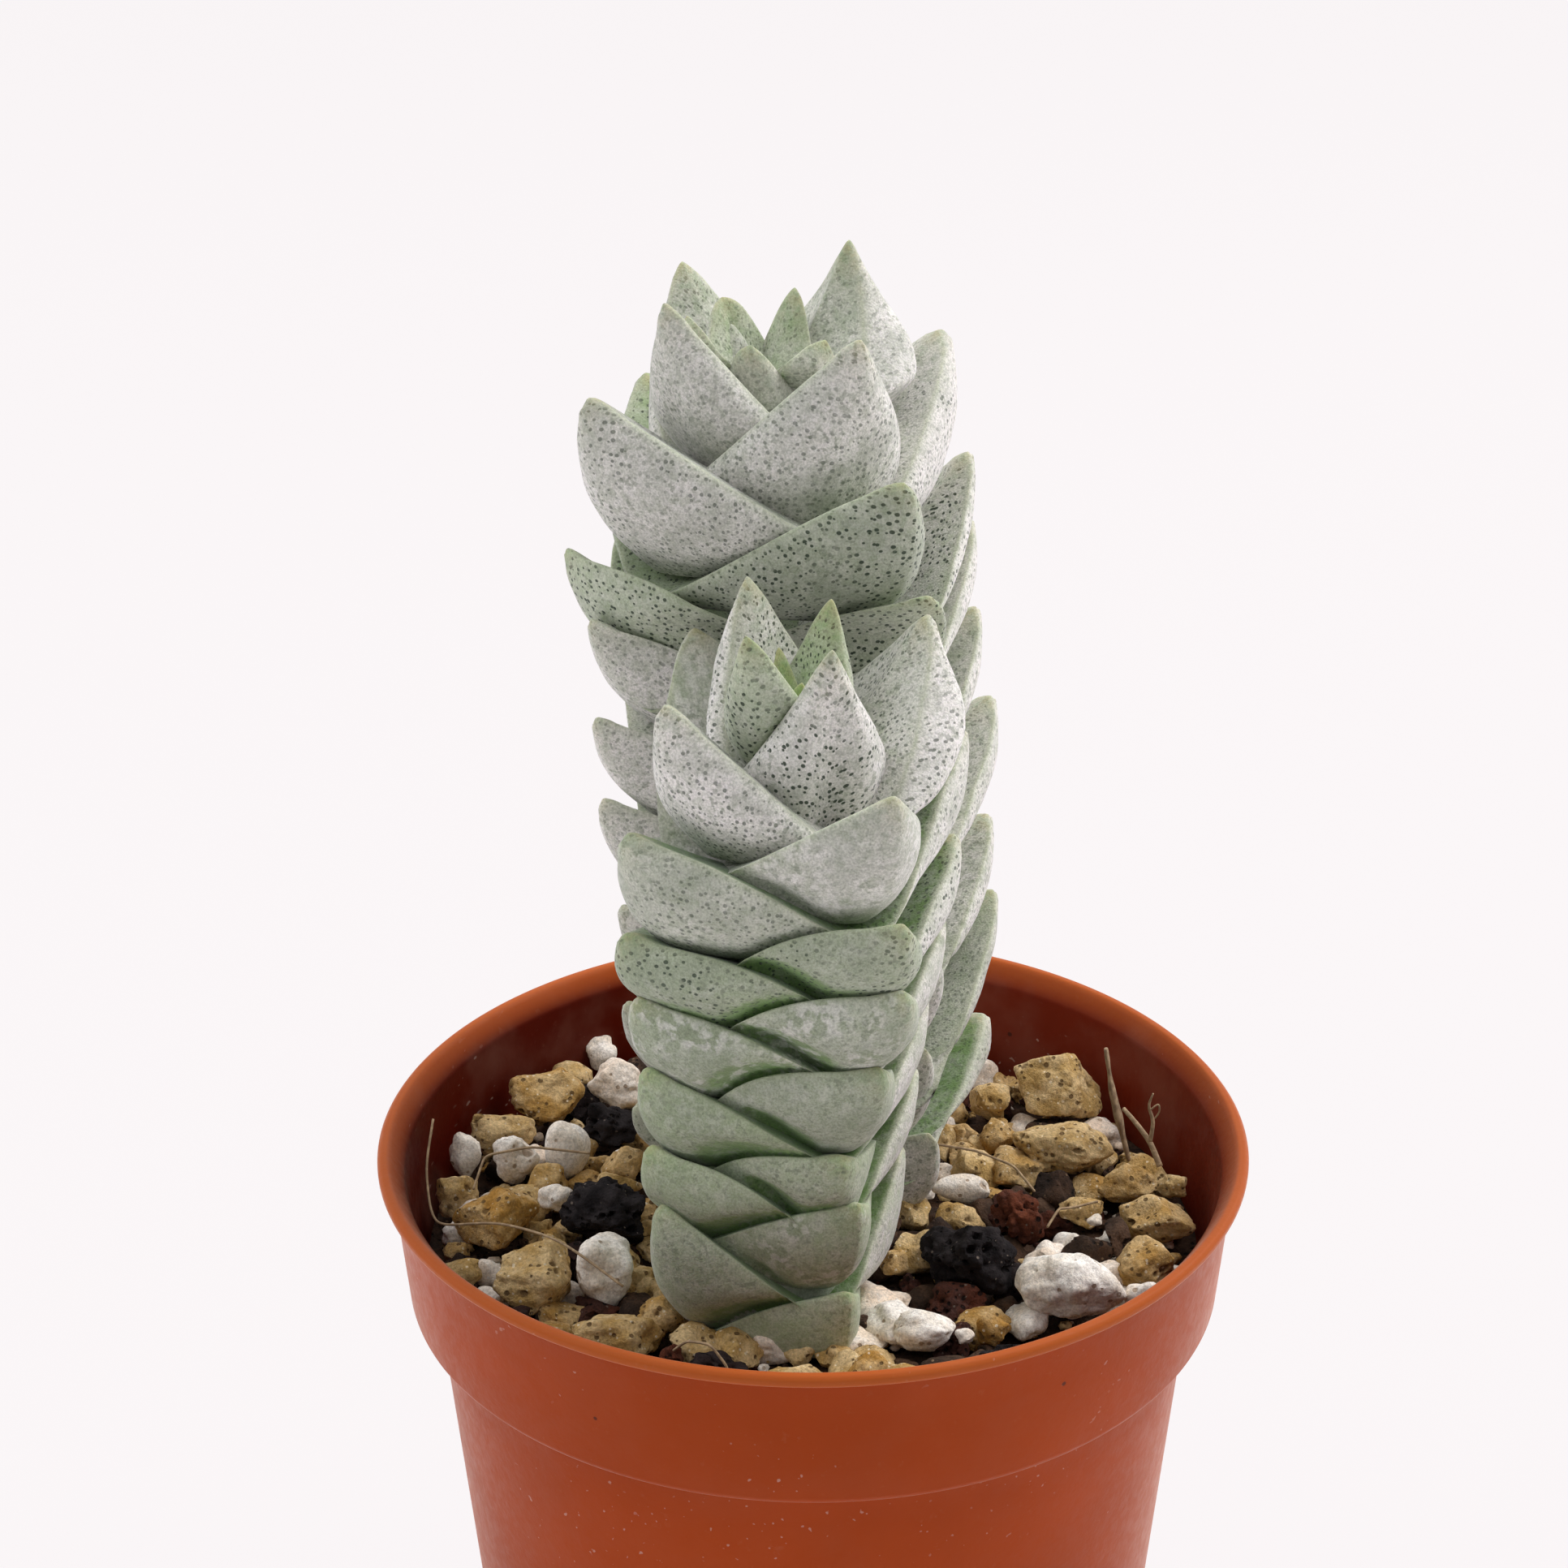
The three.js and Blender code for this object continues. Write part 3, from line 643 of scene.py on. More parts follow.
@dataclass(frozen=True)
class PotPlastic:
    """Thin moulded terracotta-coloured plastic, scuffed, dusty inside, with painted shade inside and painted light
    along its lip.
    """

    body: Colour = (0.32, 0.043, 0.003)
    # Lip colour: painted light, brighter than the body where the rim faces up and light shines through it.
    lip: Colour = (0.41, 0.09, 0.018)
    # Inner wall colours: painted shade, darker than the body and darkest on the left.
    inside: Colour = (0.17, 0.018, 0.006)
    painted_left_wall_shade: Colour = (0.08, 0.005, 0.001)
    chalk: Colour = (0.5, 0.3, 0.22)

    def make(self, effects: SharedEffects) -> Material:
        """Builds the material.

        Args:
            effects: The shared node groups.

        Returns:
            The material.
        """
        material, web, shader, place = new_material(
            "pot_plastic",
            0.42,
            {
                "Specular IOR Level": 0.07,
                "Sheen Roughness": 0.32,
                "Sheen Tint": (1.0, 0.86, 0.76),
                "Subsurface Weight": 0.08,
                "Subsurface Radius": (1.0, 0.3, 0.12),
                "Subsurface Scale": 0.8 * MM,
            },
        )
        edge, inside = web.value("edge"), web.value("inside")
        cloud = web.noise(place, 0.06, 3.0)
        dust = web.noise(place, 1.2, 4.0, 0.65)
        colour = web.blend(web.between(cloud, 0.3, 0.7), self.body, tuple(c * 1.14 for c in self.body))
        # Painted shade: the inner wall is darker than the body, and darkest towards the left.
        sideways = web.add("ShaderNodeSeparateXYZ", {0: place}).outputs[0]
        wall = web.blend(web.between(sideways, -0.017, 0.012), self.painted_left_wall_shade, self.inside)
        colour = web.blend(inside, colour, wall)
        # Painted light: the lip is brighter where its top faces up and light shines through the thin plastic.
        colour = web.blend(edge, colour, self.lip)
        film = effects.cloudy(web, place, 0.16, 0.56, 0.14)
        colour = web.blend(web.times(film, web.between(inside, 0.0, 1.0, 0.02, 0.1)), colour, self.chalk)
        colour = web.blend(web.between(dust, 0.6, 0.8, 0.0, 0.07), colour, self.chalk)
        turned = web.add("ShaderNodeMapping", {"Vector": place, "Rotation": (0.4, 0.9, 0.3), "Scale": (1.0, 0.16, 1.0)})
        scratches = effects.cloudy(web, turned.outputs[0], 2.4, 0.74, 0.02, 1.0)
        rubbed = effects.cloudy(web, place, 0.11, 0.55, 0.07)
        scratches = web.times(scratches, web.times(rubbed, 0.3))
        colour = web.blend(scratches, colour, (0.72, 0.56, 0.48))
        marks = effects.spotted(web, place, 0.3, 0.05, 0.02, 0.35)
        colour = web.blend(web.times(marks, 0.8), colour, (0.05, 0.015, 0.01))
        web.feed(shader.inputs["Base Color"], colour)
        web.feed(shader.inputs["Roughness"], web.between(dust, 0.3, 0.7, 0.36, 0.52))
        web.feed(shader.inputs["Sheen Weight"], web.between(inside, 0.0, 1.0, 0.26, 0.02))
        height = web.free("ADD", web.noise(place, 2.5, 2.0), web.noise(place, 0.12, 1.0))
        web.bump(shader, height, 0.12, 0.12)
        return material


@dataclass(frozen=True)
class RoughStone:
    """Broken mineral grit: a base colour that wanders to two others, dark pits, and pale flecks."""

    name: str
    base: Colour
    second: Colour
    third: Colour
    pit: Colour
    fleck: Colour
    pit_share: float
    fleck_share: float
    bump: float
    gloss: float = 0.2

    def make(self, effects: SharedEffects) -> Material:
        """Builds the material.

        Args:
            effects: The shared node groups.

        Returns:
            The material.
        """
        material, web, shader, place = new_material(self.name, 0.92, {"Specular IOR Level": self.gloss})
        tone = web.value("tone")
        wander = web.noise(place, 0.55, 4.0, 0.6)
        grain = web.noise(place, 5.0, 3.0, 0.7)
        colour = web.blend(web.between(wander, 0.35, 0.62), self.base, self.second)
        colour = web.blend(web.times(tone, web.between(wander, 0.3, 0.65, 1.0, 0.45)), colour, self.third)
        colour = web.blend(web.between(web.value("pit"), 0.25, 0.9, 0.0, 0.75), colour, self.pit)
        pits = effects.spotted(web, place, 1.9, 0.2, 0.12, self.pit_share)
        colour = web.blend(web.times(pits, 0.85), colour, self.pit)
        flecks = effects.spotted(web, place, 2.6, 0.16, 0.1, self.fleck_share)
        colour = web.blend(web.times(flecks, 0.7), colour, self.fleck)
        colour = web.blend(0.7, colour, web.between(grain, 0.25, 0.75, 0.55, 1.35), "MULTIPLY")
        web.feed(shader.inputs["Base Color"], colour)
        web.bump(shader, web.free("SUBTRACT", grain, pits), self.bump, 0.16)
        return material


@dataclass(frozen=True)
class DryFibre:
    """Pale dry root and bark fibre, darker in its grooves."""

    light: Colour = (0.46, 0.33, 0.2)
    dark: Colour = (0.13, 0.08, 0.05)

    def make(self, effects: SharedEffects) -> Material:
        """Builds the material.

        Args:
            effects: The shared node groups.

        Returns:
            The material.
        """
        material, web, shader, place = new_material("dry_fibre", 0.85, {"Specular IOR Level": 0.25})
        grooves = effects.cloudy(web, place, 2.2, 0.48, 0.12)
        share = web.plus(web.times(grooves, 0.45), web.times(web.value("tone"), 0.5))
        web.feed(shader.inputs["Base Color"], web.blend(share, self.light, self.dark))
        web.bump(shader, grooves, 0.4, 0.08)
        return material


class Rock(Enum):
    """Kinds of grain in the pot's topping."""

    PUMICE = "pumice"
    PERLITE = "perlite"
    LAVA = "lava"
    BARK = "bark"


STONE_FINISHES = {
    Rock.PUMICE: RoughStone(
        "tan_pumice",
        base=(0.5, 0.33, 0.125),
        second=(0.7, 0.52, 0.28),
        third=(0.42, 0.21, 0.04),
        pit=(0.13, 0.075, 0.03),
        fleck=(0.85, 0.74, 0.55),
        pit_share=0.4,
        fleck_share=0.45,
        bump=0.9,
    ),
    Rock.PERLITE: RoughStone(
        "white_perlite",
        base=(0.82, 0.74, 0.64),
        second=(0.94, 0.9, 0.85),
        third=(0.8, 0.62, 0.47),
        pit=(0.4, 0.29, 0.2),
        fleck=(0.92, 0.89, 0.85),
        pit_share=0.12,
        fleck_share=0.3,
        bump=0.5,
    ),
    Rock.LAVA: RoughStone(
        "black_lava",
        base=(0.009, 0.007, 0.008),
        second=(0.026, 0.021, 0.022),
        third=(0.15, 0.042, 0.02),
        pit=(0.004, 0.003, 0.003),
        fleck=(0.22, 0.18, 0.15),
        pit_share=0.6,
        fleck_share=0.16,
        bump=1.0,
        gloss=0.18,
    ),
    Rock.BARK: RoughStone(
        "dark_bark",
        base=(0.04, 0.024, 0.016),
        second=(0.1, 0.055, 0.033),
        third=(0.016, 0.012, 0.012),
        pit=(0.008, 0.006, 0.005),
        fleck=(0.26, 0.17, 0.1),
        pit_share=0.4,
        fleck_share=0.14,
        bump=1.0,
        gloss=0.18,
    ),
}


# The plant


@dataclass(frozen=True)
class LeafPair:
    """Two opposite leaves, fused round the stem. Heights and radii in millimetres, turn in degrees.

    The fall is how far the margin drops from the front tip to the saddle. The curves say how late it does so: on the
    front leaf's half that faces the other rank, on its outer half, and on the back leaf. Depth is how far the hull
    reaches down from the tip, gape how far the pair above stands off it where the ranks cross, and blunt the length
    over which its tips are rounded. Inset, hull, keel, tuck and notch are shares of the radius: at the margin, at the
    bulge, there below the tip, at the foot, and what is missing at the saddle. Belly is how low the bulge sits, and
    flat how much flatter the plan is on the stem's flat side. The last six fields, each about 0 to 1, are looks:
    whitish bloom, that of the back leaf, green showing through, dots, rubbed patches and a deep green upper face.
    Bloom and green also carry painted light and shade: the front stem's middle pairs, which face the viewer, have
    less bloom, and its lowest pairs more green and bloom, to lighten them in the pot's shade.
    """

    rank: str = ""
    front: float = 0.0
    back: float = 0.0
    radius: float = 0.0
    back_radius: float | None = None
    fall: float = 6.0
    curve: float = 2.2
    outer_curve: float = 0.65
    back_curve: float = 0.9
    hull: float = 1.0
    back_hull: float | None = None
    depth: float = 7.0
    inset: float = 0.95
    keel: float = 1.01
    belly: float = 0.74
    tuck: float = 0.74
    flat: float = 0.3
    notch: float = 0.08
    gape: float = 0.0
    blunt: float = 0.5
    turn: float = 0.0
    back_turn: float = 0.0
    bloom: float = 0.6
    back_bloom: float | None = None
    green: float = 0.3
    dots: float = 0.45
    scrape: float = 0.25
    deep: float = 0.2

    def at(self, rank: str, front: float, back: float, radius: float, **rest: float) -> "LeafPair":
        """A pair of this shape in a rank, with the heights of its front and back tips, its radius and other sizes."""
        return replace(self, rank=rank, front=front, back=back, radius=radius, **rest)

    def both(self, name: str) -> tuple[float, float]:
        """The front and the back leaf's value of a field, where a back value of None repeats the front one."""
        front, back = getattr(self, name), getattr(self, f"back_{name}")
        return front, front if back is None else back

    def blended(self, name: str, angle: np.ndarray) -> np.ndarray:
        """Both leaves' values of a field, blended round the stem: the front one at 0 degrees, the back one at 180.

        Args:
            name: The field.
            angle: Angles round the stem from the front tip, in degrees.

        Returns:
            The value at each angle.
        """
        front, back = self.both(name)
        to_front = (1 + np.cos(np.radians(angle))) / 2
        return front * to_front + back * (1 - to_front)

    def outer(self, angle: np.ndarray) -> np.ndarray:
        """Whether each angle lies on the half of a leaf that faces away from the other rank."""
        return np.sin(np.radians(angle)) * (1 if self.rank == "R" else -1) > 0


HIGH = LeafPair(
    curve=0.95, back_curve=0.8, hull=1.02, depth=10, keel=1.04, belly=0.64, tuck=0.68, flat=0, bloom=0.85, green=0.12
)
SPREADING = LeafPair(
    fall=8, curve=1.3, back_curve=0.8, hull=0.97, depth=8, keel=0.97, belly=0.64, tuck=0.7, inset=0.97, gape=0.2,
    bloom=0.8, green=0.25,
)
CUSHION = LeafPair(tuck=0.68, notch=0.12, gape=1.3, blunt=0.8, back_bloom=0.75, deep=0.9)
RIGHT_CUSHION = replace(CUSHION, gape=0.55)


@dataclass
class LeafyStem:
    """A column of leaf pairs on one stem, each pair a closed body that sits in the pair below.

    Lengths are in millimetres and angles in degrees. The roundings, the tip's rise and its reach shape the margin,
    waist, plan and flat_side the outline from above, and embrace and opening the walls that press a hull in. The
    ranks cross where the azimuth is minus cross_turn, and opposite it.
    """

    name: str
    axis: Triples
    ranks: dict[str, float]
    pairs: tuple[LeafPair, ...]
    foot_radius: float
    leans_back: bool
    foot_z: float = 34.0
    floor_z: float = 42.95
    quarter_steps: int = 22
    tip_rounding: float = 0.6
    saddle_rounding: float = 0.08
    tip_width: float = 10.0
    keel_width: float = 14.0
    waist: float = 0.86
    plan: float = 1.5
    flat_side: float = 78.0
    embrace: float = 0.32
    opening: float = 1.1
    cross_turn: float = 13.0
    tip_rise: float = 0.45
    tip_reach: float = 0.8
    root_depth: float = 2.5

    def centre(self, z: np.ndarray) -> tuple[np.ndarray, np.ndarray]:
        """Reads the stem's axis at the heights z, in straight stretches."""
        heights, xs, ys = np.array(self.axis).T
        return np.interp(z, heights, xs), np.interp(z, heights, ys)

    def crossing(self, azimuth: np.ndarray) -> np.ndarray:
        """How near each azimuth, in degrees, is to those where the two ranks cross: 1 there and 0 well beside them."""
        return smooth_step((np.abs(np.cos(np.radians(azimuth + self.cross_turn))) - 0.7) / 0.2)

    def pressed(self, points: np.ndarray) -> np.ndarray:
        """Bends what would run into the other column back to a plane between them: limit - s e^(-over/s).

        Above the front column's top the rear one's plane steps forward.

        Args:
            points: Places, shape (..., 3).

        Returns:
            The places, none of them beyond the plane.
        """
        y, z = points[..., 1], points[..., 2]
        if self.leans_back:
            soft = 2.0
            limit = -1.2 - 6 * smooth_step((z - 83) / 7)
            over = limit + soft - y
            bent = limit + soft * np.exp(-np.maximum(over, 0) / soft)
        else:
            soft = 1.5
            over = y - (-1.6 - soft)
            bent = -1.6 - soft * np.exp(-np.maximum(over, 0) / soft)
        return np.stack([points[..., 0], np.where(over > 0, bent, y), z], -1)

    def margin(self, pair: LeafPair, angle: np.ndarray) -> tuple[np.ndarray, ...]:
        """The margin of a pair at angles round the stem, from 0 at the front tip to 180 at the back one.

        From each tip it falls by (tip - saddle) u^curve, where u climbs from 0 at the tip to 1 at the saddle and is
        rounded at both ends. Seen from above, the pair is a pointed oval, cos^plan + (sin / waist)^plan = 1, flatter
        on one side of the stem, and the margin runs a little inside it.

        Args:
            pair: The pair's sizes.
            angle: Angles in degrees.

        Returns:
            The margin's heights and radii, the pair's radius there, the angles folded to 0 to 90, and the same with
            the tip rounded, all on the angles' own shape.
        """
        front = np.cos(np.radians(angle)) >= 0
        folded = np.abs((angle + 90) % 180 - 90)
        radius = pair.blended("radius", angle)
        rounding = np.degrees(self.tip_rounding / radius)
        from_tip = np.sqrt(folded**2 + rounding**2) - rounding
        u = np.clip(from_tip / (90 - rounding), 0, 1)
        e = self.saddle_rounding
        u = 1 - (np.sqrt((1 - u) ** 2 + e * e) - e) / (np.sqrt(1 + e * e) - e)
        curve = np.where(front, np.where(pair.outer(angle), pair.outer_curve, pair.curve), pair.back_curve)
        tip_z = np.where(front, pair.front, pair.back)
        z = tip_z - (tip_z - pair.front + pair.fall) * u**curve
        to_flat = np.maximum(np.cos(np.radians(self.ranks[pair.rank] + angle - self.flat_side)), 0) ** 2
        plan = self.plan - pair.flat * to_flat
        long, wide = np.cos(np.radians(folded)), np.sin(np.radians(folded)) / self.waist
        radius = radius * (long**plan + wide**plan) ** (-1 / plan)
        r = radius * (pair.inset + (1 - pair.inset) * np.exp(-from_tip / self.tip_width))
        return z, r, radius, folded, from_tip

    def embraced(self, number: int, azimuth: np.ndarray, r: np.ndarray, z: np.ndarray) -> np.ndarray:
        """Presses a hull in where the pairs below stand round it.

        Just inside the margin of each of the three pairs below, and widening upwards from it, lies a wall that the
        hull meets softly: r = -s log(e^(-r / s) + e^(-limit / s)), a smooth least of the two. Towards a blunt leaf's
        saddle, where the two ranks cross, the wall lies further in, and its upper face shows in the gap.

        Args:
            number: The pair's place on the stem.
            azimuth: Azimuths of the hull's points, in degrees.
            r: Their radii.
            z: Their heights.

        Returns:
            The radii, pressed in.
        """
        soft = 0.22
        for below in self.pairs[max(number - 3, 0) : number]:
            angle = azimuth - self.ranks[below.rank]
            low_z, low_r, _, folded, _ = self.margin(below, angle - below.blended("turn", angle))
            gap = self.embrace + below.gape * self.crossing(azimuth) * smooth_step((folded - 20) / 40)
            limit = low_r - gap + self.opening * np.maximum(z - low_z, 0)
            r = np.maximum(-soft * np.logaddexp(-r / soft, -limit / soft), 0.3 * r)
        return r

    def pair_skin(self, pair: LeafPair, number: int) -> Skin:
        """Works out one pair of leaves.

        The angle runs round the stem from one tip to the other. The upper face is a dish from the margin to the axis,
        and the hull is a Bezier curve from the margin, out over the bulge, in to the foot.

        Args:
            pair: The pair's sizes.
            number: Its place on the stem, which seeds its unevenness.

        Returns:
            The closed skin with its looks as values.
        """
        step = 90 * np.linspace(0, 1, self.quarter_steps + 1) ** 1.5
        angle = np.concatenate([180 - step[:0:-1], 180 + step[:-1], 360 - step[:0:-1], 360 + step[:-1]])
        margin_z, margin_r, radius, folded, from_tip = self.margin(pair, angle)
        reach = from_tip * radius / DEGREES_PER_RADIAN
        margin_z = margin_z + self.tip_rise * np.exp(-((reach / self.tip_reach) ** 2))
        front = np.cos(np.radians(angle)) >= 0
        tip_z = np.where(front, pair.front, pair.back)
        saddle_z = pair.front - pair.fall
        centre_z = saddle_z + 0.15 * pair.fall
        hull = pair.blended("hull", angle)
        hull_r = radius * (hull + (pair.keel - hull) * np.exp(-((folded / self.keel_width) ** 2)))
        hull_r = hull_r * (1 - pair.notch * smooth_step(folded / 90))
        foot_z = tip_z - pair.depth + (saddle_z - 1 - tip_z + pair.depth) * (folded / 90) ** 2.2
        foot_z = np.minimum(foot_z, margin_z - 1)
        foot_r = pair.tuck * hull_r
        bulge_r = (hull_r - 0.125 * (margin_r + foot_r)) / 0.75
        drop = margin_z - foot_z
        upper = np.array([0.14, 0.3, 0.45, 0.58, 0.7, 0.8, 0.88, 0.94, 0.975, 1.0])[:, None]
        s = np.append([0.025, 0.055, 0.09, 0.135], np.linspace(0.18, 1, 20))[:, None]
        c0, c1, c2, c3 = (1 - s) ** 3, 3 * s * (1 - s) ** 2, 3 * s**2 * (1 - s), s**3
        hull_z = c0 * margin_z + c1 * (margin_z - 0.12 * drop) + c2 * (margin_z - pair.belly * drop) + c3 * foot_z
        azimuth = self.ranks[pair.rank] + angle + pair.blended("turn", angle)
        free = c0 * margin_r + (c1 + c2) * bulge_r + c3 * foot_r
        hull = self.embraced(number, azimuth, free, hull_z)
        fold = smooth_step((free - hull - 0.15) / 0.6) * self.crossing(azimuth)
        r = np.concatenate([margin_r * upper, hull, hull[-1:] * 0.6])
        z = np.concatenate([centre_z + (margin_z - centre_z) * upper**1.35, hull_z, foot_z[None] - 0.8])
        rim = len(upper) - 1
        self.soften((r, z), rim, np.exp(-((reach / pair.blunt) ** 2)))
        azimuth = np.radians(azimuth)
        points = self.placed(azimuth, r, z)
        points = self.uneven(points, azimuth, number)
        steps = np.hypot(np.diff(r, axis=0), np.diff(z, axis=0))
        length = np.concatenate([np.zeros((1, len(angle))), np.cumsum(steps, 0)])
        along = length - length[rim]
        around = np.radians(np.append(angle, angle[0] + 360))[None] * float(hull_r.mean())
        fade = np.exp(-np.abs(along) / 0.3)
        fall = margin_z.max() - margin_z
        row = np.arange(len(r))[:, None]
        whole = np.ones_like(r)
        aside = front & pair.outer(angle)
        upper_face = smooth_step((rim - row[: rim + 1]) / 2.0) * np.where(aside, 0.35, 1.0)
        values = {
            "edge": fade * np.where(aside, 0.45, 1.0),
            "face": np.concatenate([upper_face, fold, fold[-1:]]),
            "tip": np.exp(-reach / 0.6) * np.exp(-np.abs(along) / 1.3),
            "bloom": np.where(front, *pair.both("bloom")) * whole,
        }
        for name in ("green", "dots", "scrape", "deep"):
            values[name] = getattr(pair, name) * whole
        lowest = float(foot_z.min()) - self.root_depth
        ends = self.placed(np.zeros(2), np.zeros((1, 2)), np.array([[centre_z, lowest]]))[0]
        across = around * np.ones((len(r), 1)) + 3.7 * number
        level = along + fall * np.where(row < rim, -1.0, 1.0)
        return ring_skin(points, ends[0], ends[1], values, across, np.append(level, level[:, :1], 1))

    def soften(self, grids: tuple[np.ndarray, ...], rim: int, at_tip: np.ndarray) -> None:
        """Rounds the margin in place: rows near it are averaged with their neighbours, and further so at the tips.

        Args:
            grids: Radii and heights, each in rows and columns.
            rim: The margin's row.
            at_tip: How near each column is to a tip, from 0 to 1.
        """
        for _ in range(2):
            for grid in grids:
                mean = 0.25 * grid[:-2] + 0.5 * grid[1:-1] + 0.25 * grid[2:]
                grid[rim - 3 : rim + 4] = mean[rim - 4 : rim + 3]
        for _ in range(10):
            for grid in grids:
                mean = grid[1:-1] + (np.roll(grid, 1, 1) + np.roll(grid, -1, 1))[1:-1] / 2 + (grid[:-2] + grid[2:]) / 2
                grid[rim - 4 : rim + 5] += at_tip * (mean / 3 - grid[1:-1])[rim - 5 : rim + 4]

    def placed(self, azimuth: np.ndarray, r: np.ndarray, z: np.ndarray) -> np.ndarray:
        """Puts radius r and height z round the stem's axis, where azimuth 0 faces the viewer and 90 is to the right.

        Args:
            azimuth: Azimuths, in radians.
            r: Radii.
            z: Heights.

        Returns:
            The points, shape (..., 3).
        """
        x0, y0 = self.centre(z)
        points = np.stack([x0 + r * np.sin(azimuth), y0 - r * np.cos(azimuth), z * np.ones_like(r)], -1)
        return self.pressed(points)

    def uneven(self, points: np.ndarray, azimuth: np.ndarray, number: int) -> np.ndarray:
        """Moves each point in or out by up to 0.2 mm of layered noise, so that no two leaves are alike.

        Args:
            points: The pair's points.
            azimuth: Their azimuths, in radians.
            number: The pair's place on the stem.

        Returns:
            The moved points.
        """
        swell = 0.17 * layered_noise(points / 3.1, 2, 40 + number) + 0.05 * layered_noise(points / 0.8, 2, 90 + number)
        outwards = np.stack([np.sin(azimuth), -np.cos(azimuth), 0.25 * np.ones_like(azimuth)], -1)
        return self.pressed(points + swell[..., None] * outwards)

    def foot_skin(self) -> Skin:
        """The bare round foot of the stem that stands in the soil, from foot_z up into the lowest leaves.

        Returns:
            The closed skin of a post with softly uneven sides.
        """
        turn = np.linspace(0, 2 * np.pi, 48, endpoint=False)
        z = np.array([self.floor_z + 5, self.floor_z + 4.6, self.floor_z + 2, self.floor_z, 38.0, self.foot_z])[:, None]
        r = np.array([0.6, 0.95, 1.0, 1.0, 1.0, 0.97])[:, None] * self.foot_radius * np.ones((1, 48))
        x, y = self.centre(np.array(0.0))
        grid = np.stack([x + r * np.sin(turn), y - r * np.cos(turn), z * np.ones_like(r)], -1)
        flat = np.zeros((6, 49))
        looks = {"edge": 0, "face": 0, "tip": 0, "bloom": 0.2, "green": 0.1, "dots": 0, "scrape": 0.5, "deep": 0}
        values = {key: np.full(r.shape, float(value)) for key, value in looks.items()}
        return ring_skin(grid, grid[0].mean(0), grid[-1].mean(0), values, flat, flat)

    def build(self, material: Material) -> Object:
        """Builds the whole stem as one piece and cuts it level just above the soil.

        Args:
            material: The leaf finish.

        Returns:
            The piece.
        """
        skins = [self.pair_skin(pair, number) for number, pair in enumerate(self.pairs)]
        leaves = joined(skins)
        low = leaves.points[:, 2] < self.floor_z
        leaves.points[low, 2] = self.floor_z + 0.02 * (leaves.points[low, 2] - self.floor_z)
        piece = make_piece(joined([leaves, self.foot_skin()]), f"{self.name}_leaves", material)
        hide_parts(self.name)
        return piece


REAR_STEM = LeafyStem(
    name="rear_stem",
    axis=((44, 0.6, 6.6), (60, 0.0, 6.6), (73, -0.9, 6.4), (92, -2.6, 6.2), (106, -3.2, 6.0)),
    ranks={"L": -62, "R": 37},
    foot_radius=6.0,
    leans_back=True,
    pairs=(
        RIGHT_CUSHION.at("R", 49.5, 49.5, 9.8, bloom=0.7, green=0.3, turn=10),
        CUSHION.at("L", 51.8, 51.5, 12.8, bloom=0.5, green=0.5),
        SPREADING.at("R", 55.8, 56, 10, green=0.4, turn=8),
        SPREADING.at("L", 59.1, 60.7, 13.3, back_radius=13.8, green=0.3, bloom=0.6),
        SPREADING.at("R", 62.9, 63.2, 11, green=0.35, turn=8),
        SPREADING.at("L", 65.8, 66.2, 13, back_radius=13.8, green=0.3, scrape=0.7),
        SPREADING.at("R", 69.8, 70.2, 12.8),
        SPREADING.at("L", 73.1, 74.5, 13.5, back_radius=14.6, depth=8.5, green=0.35),
        SPREADING.at("R", 76.6, 77.2, 13, depth=8.5),
        SPREADING.at("L", 78.4, 80.8, 13.2, back_radius=13.9, green=0.35),
        SPREADING.at("R", 82.3, 83, 13),
        SPREADING.at("L", 84.7, 86.7, 12.7, back_radius=14, green=0.35),
        SPREADING.at("R", 87.4, 89.5, 13.3, fall=8.5, curve=1.45, turn=7, depth=7.5, bloom=0.42, green=0.55, dots=1),
        SPREADING.at(
            "L", 88.3, 91.1, 12.9, back_radius=14.2, fall=9.7, curve=3.1, depth=8.5, turn=-13, bloom=0.36, green=0.5,
            dots=1, back_bloom=0.9,
        ),
        HIGH.at(
            "R", 94.3, 95.2, 12.3, flat=0.3, fall=8.1, curve=1.13, turn=4, hull=0.99, depth=9.5, bloom=0.34,
            green=0.25, dots=1,
        ),
        HIGH.at(
            "L", 98.7, 99.1, 11.8, back_radius=12.5, flat=0.15, fall=8.8, curve=0.97, turn=5, depth=11.5, bloom=0.7,
            dots=0.6, back_bloom=1.0,
        ),
        HIGH.at(
            "R", 102.2, 103.4, 9, back_radius=7.6, belly=0.72, curve=0.93, fall=9.8, turn=4, hull=1.12, depth=13,
            dots=0.55, bloom=0.72,
        ),
        HIGH.at(
            "L", 103.6, 105.2, 6.8, back_radius=7, back_hull=1.5, flat=-0.3, back_curve=0.65, curve=0.9, fall=9.3,
            turn=10, back_turn=10, hull=1.12, depth=10.5, dots=0.35, bloom=0.75,
        ),
        HIGH.at(
            "R", 100.8, 99.5, 4.2, back_radius=2.2, curve=1.1, outer_curve=0.8, fall=6.5, depth=8, turn=-43, hull=1.1,
            bloom=0.7, green=0.3, dots=0.3,
        ),
        HIGH.at(
            "R", 100.7, 101.7, 4.8, back_radius=3.6, back_curve=1.4, curve=1.6, fall=6, depth=8, turn=18, hull=1.2,
            bloom=0.6, green=0.4,
        ),
        HIGH.at("L", 102.1, 102.3, 4.7, back_radius=3.7, fall=7, depth=8, back_turn=26, bloom=0.65, green=0.4),
    ),
)

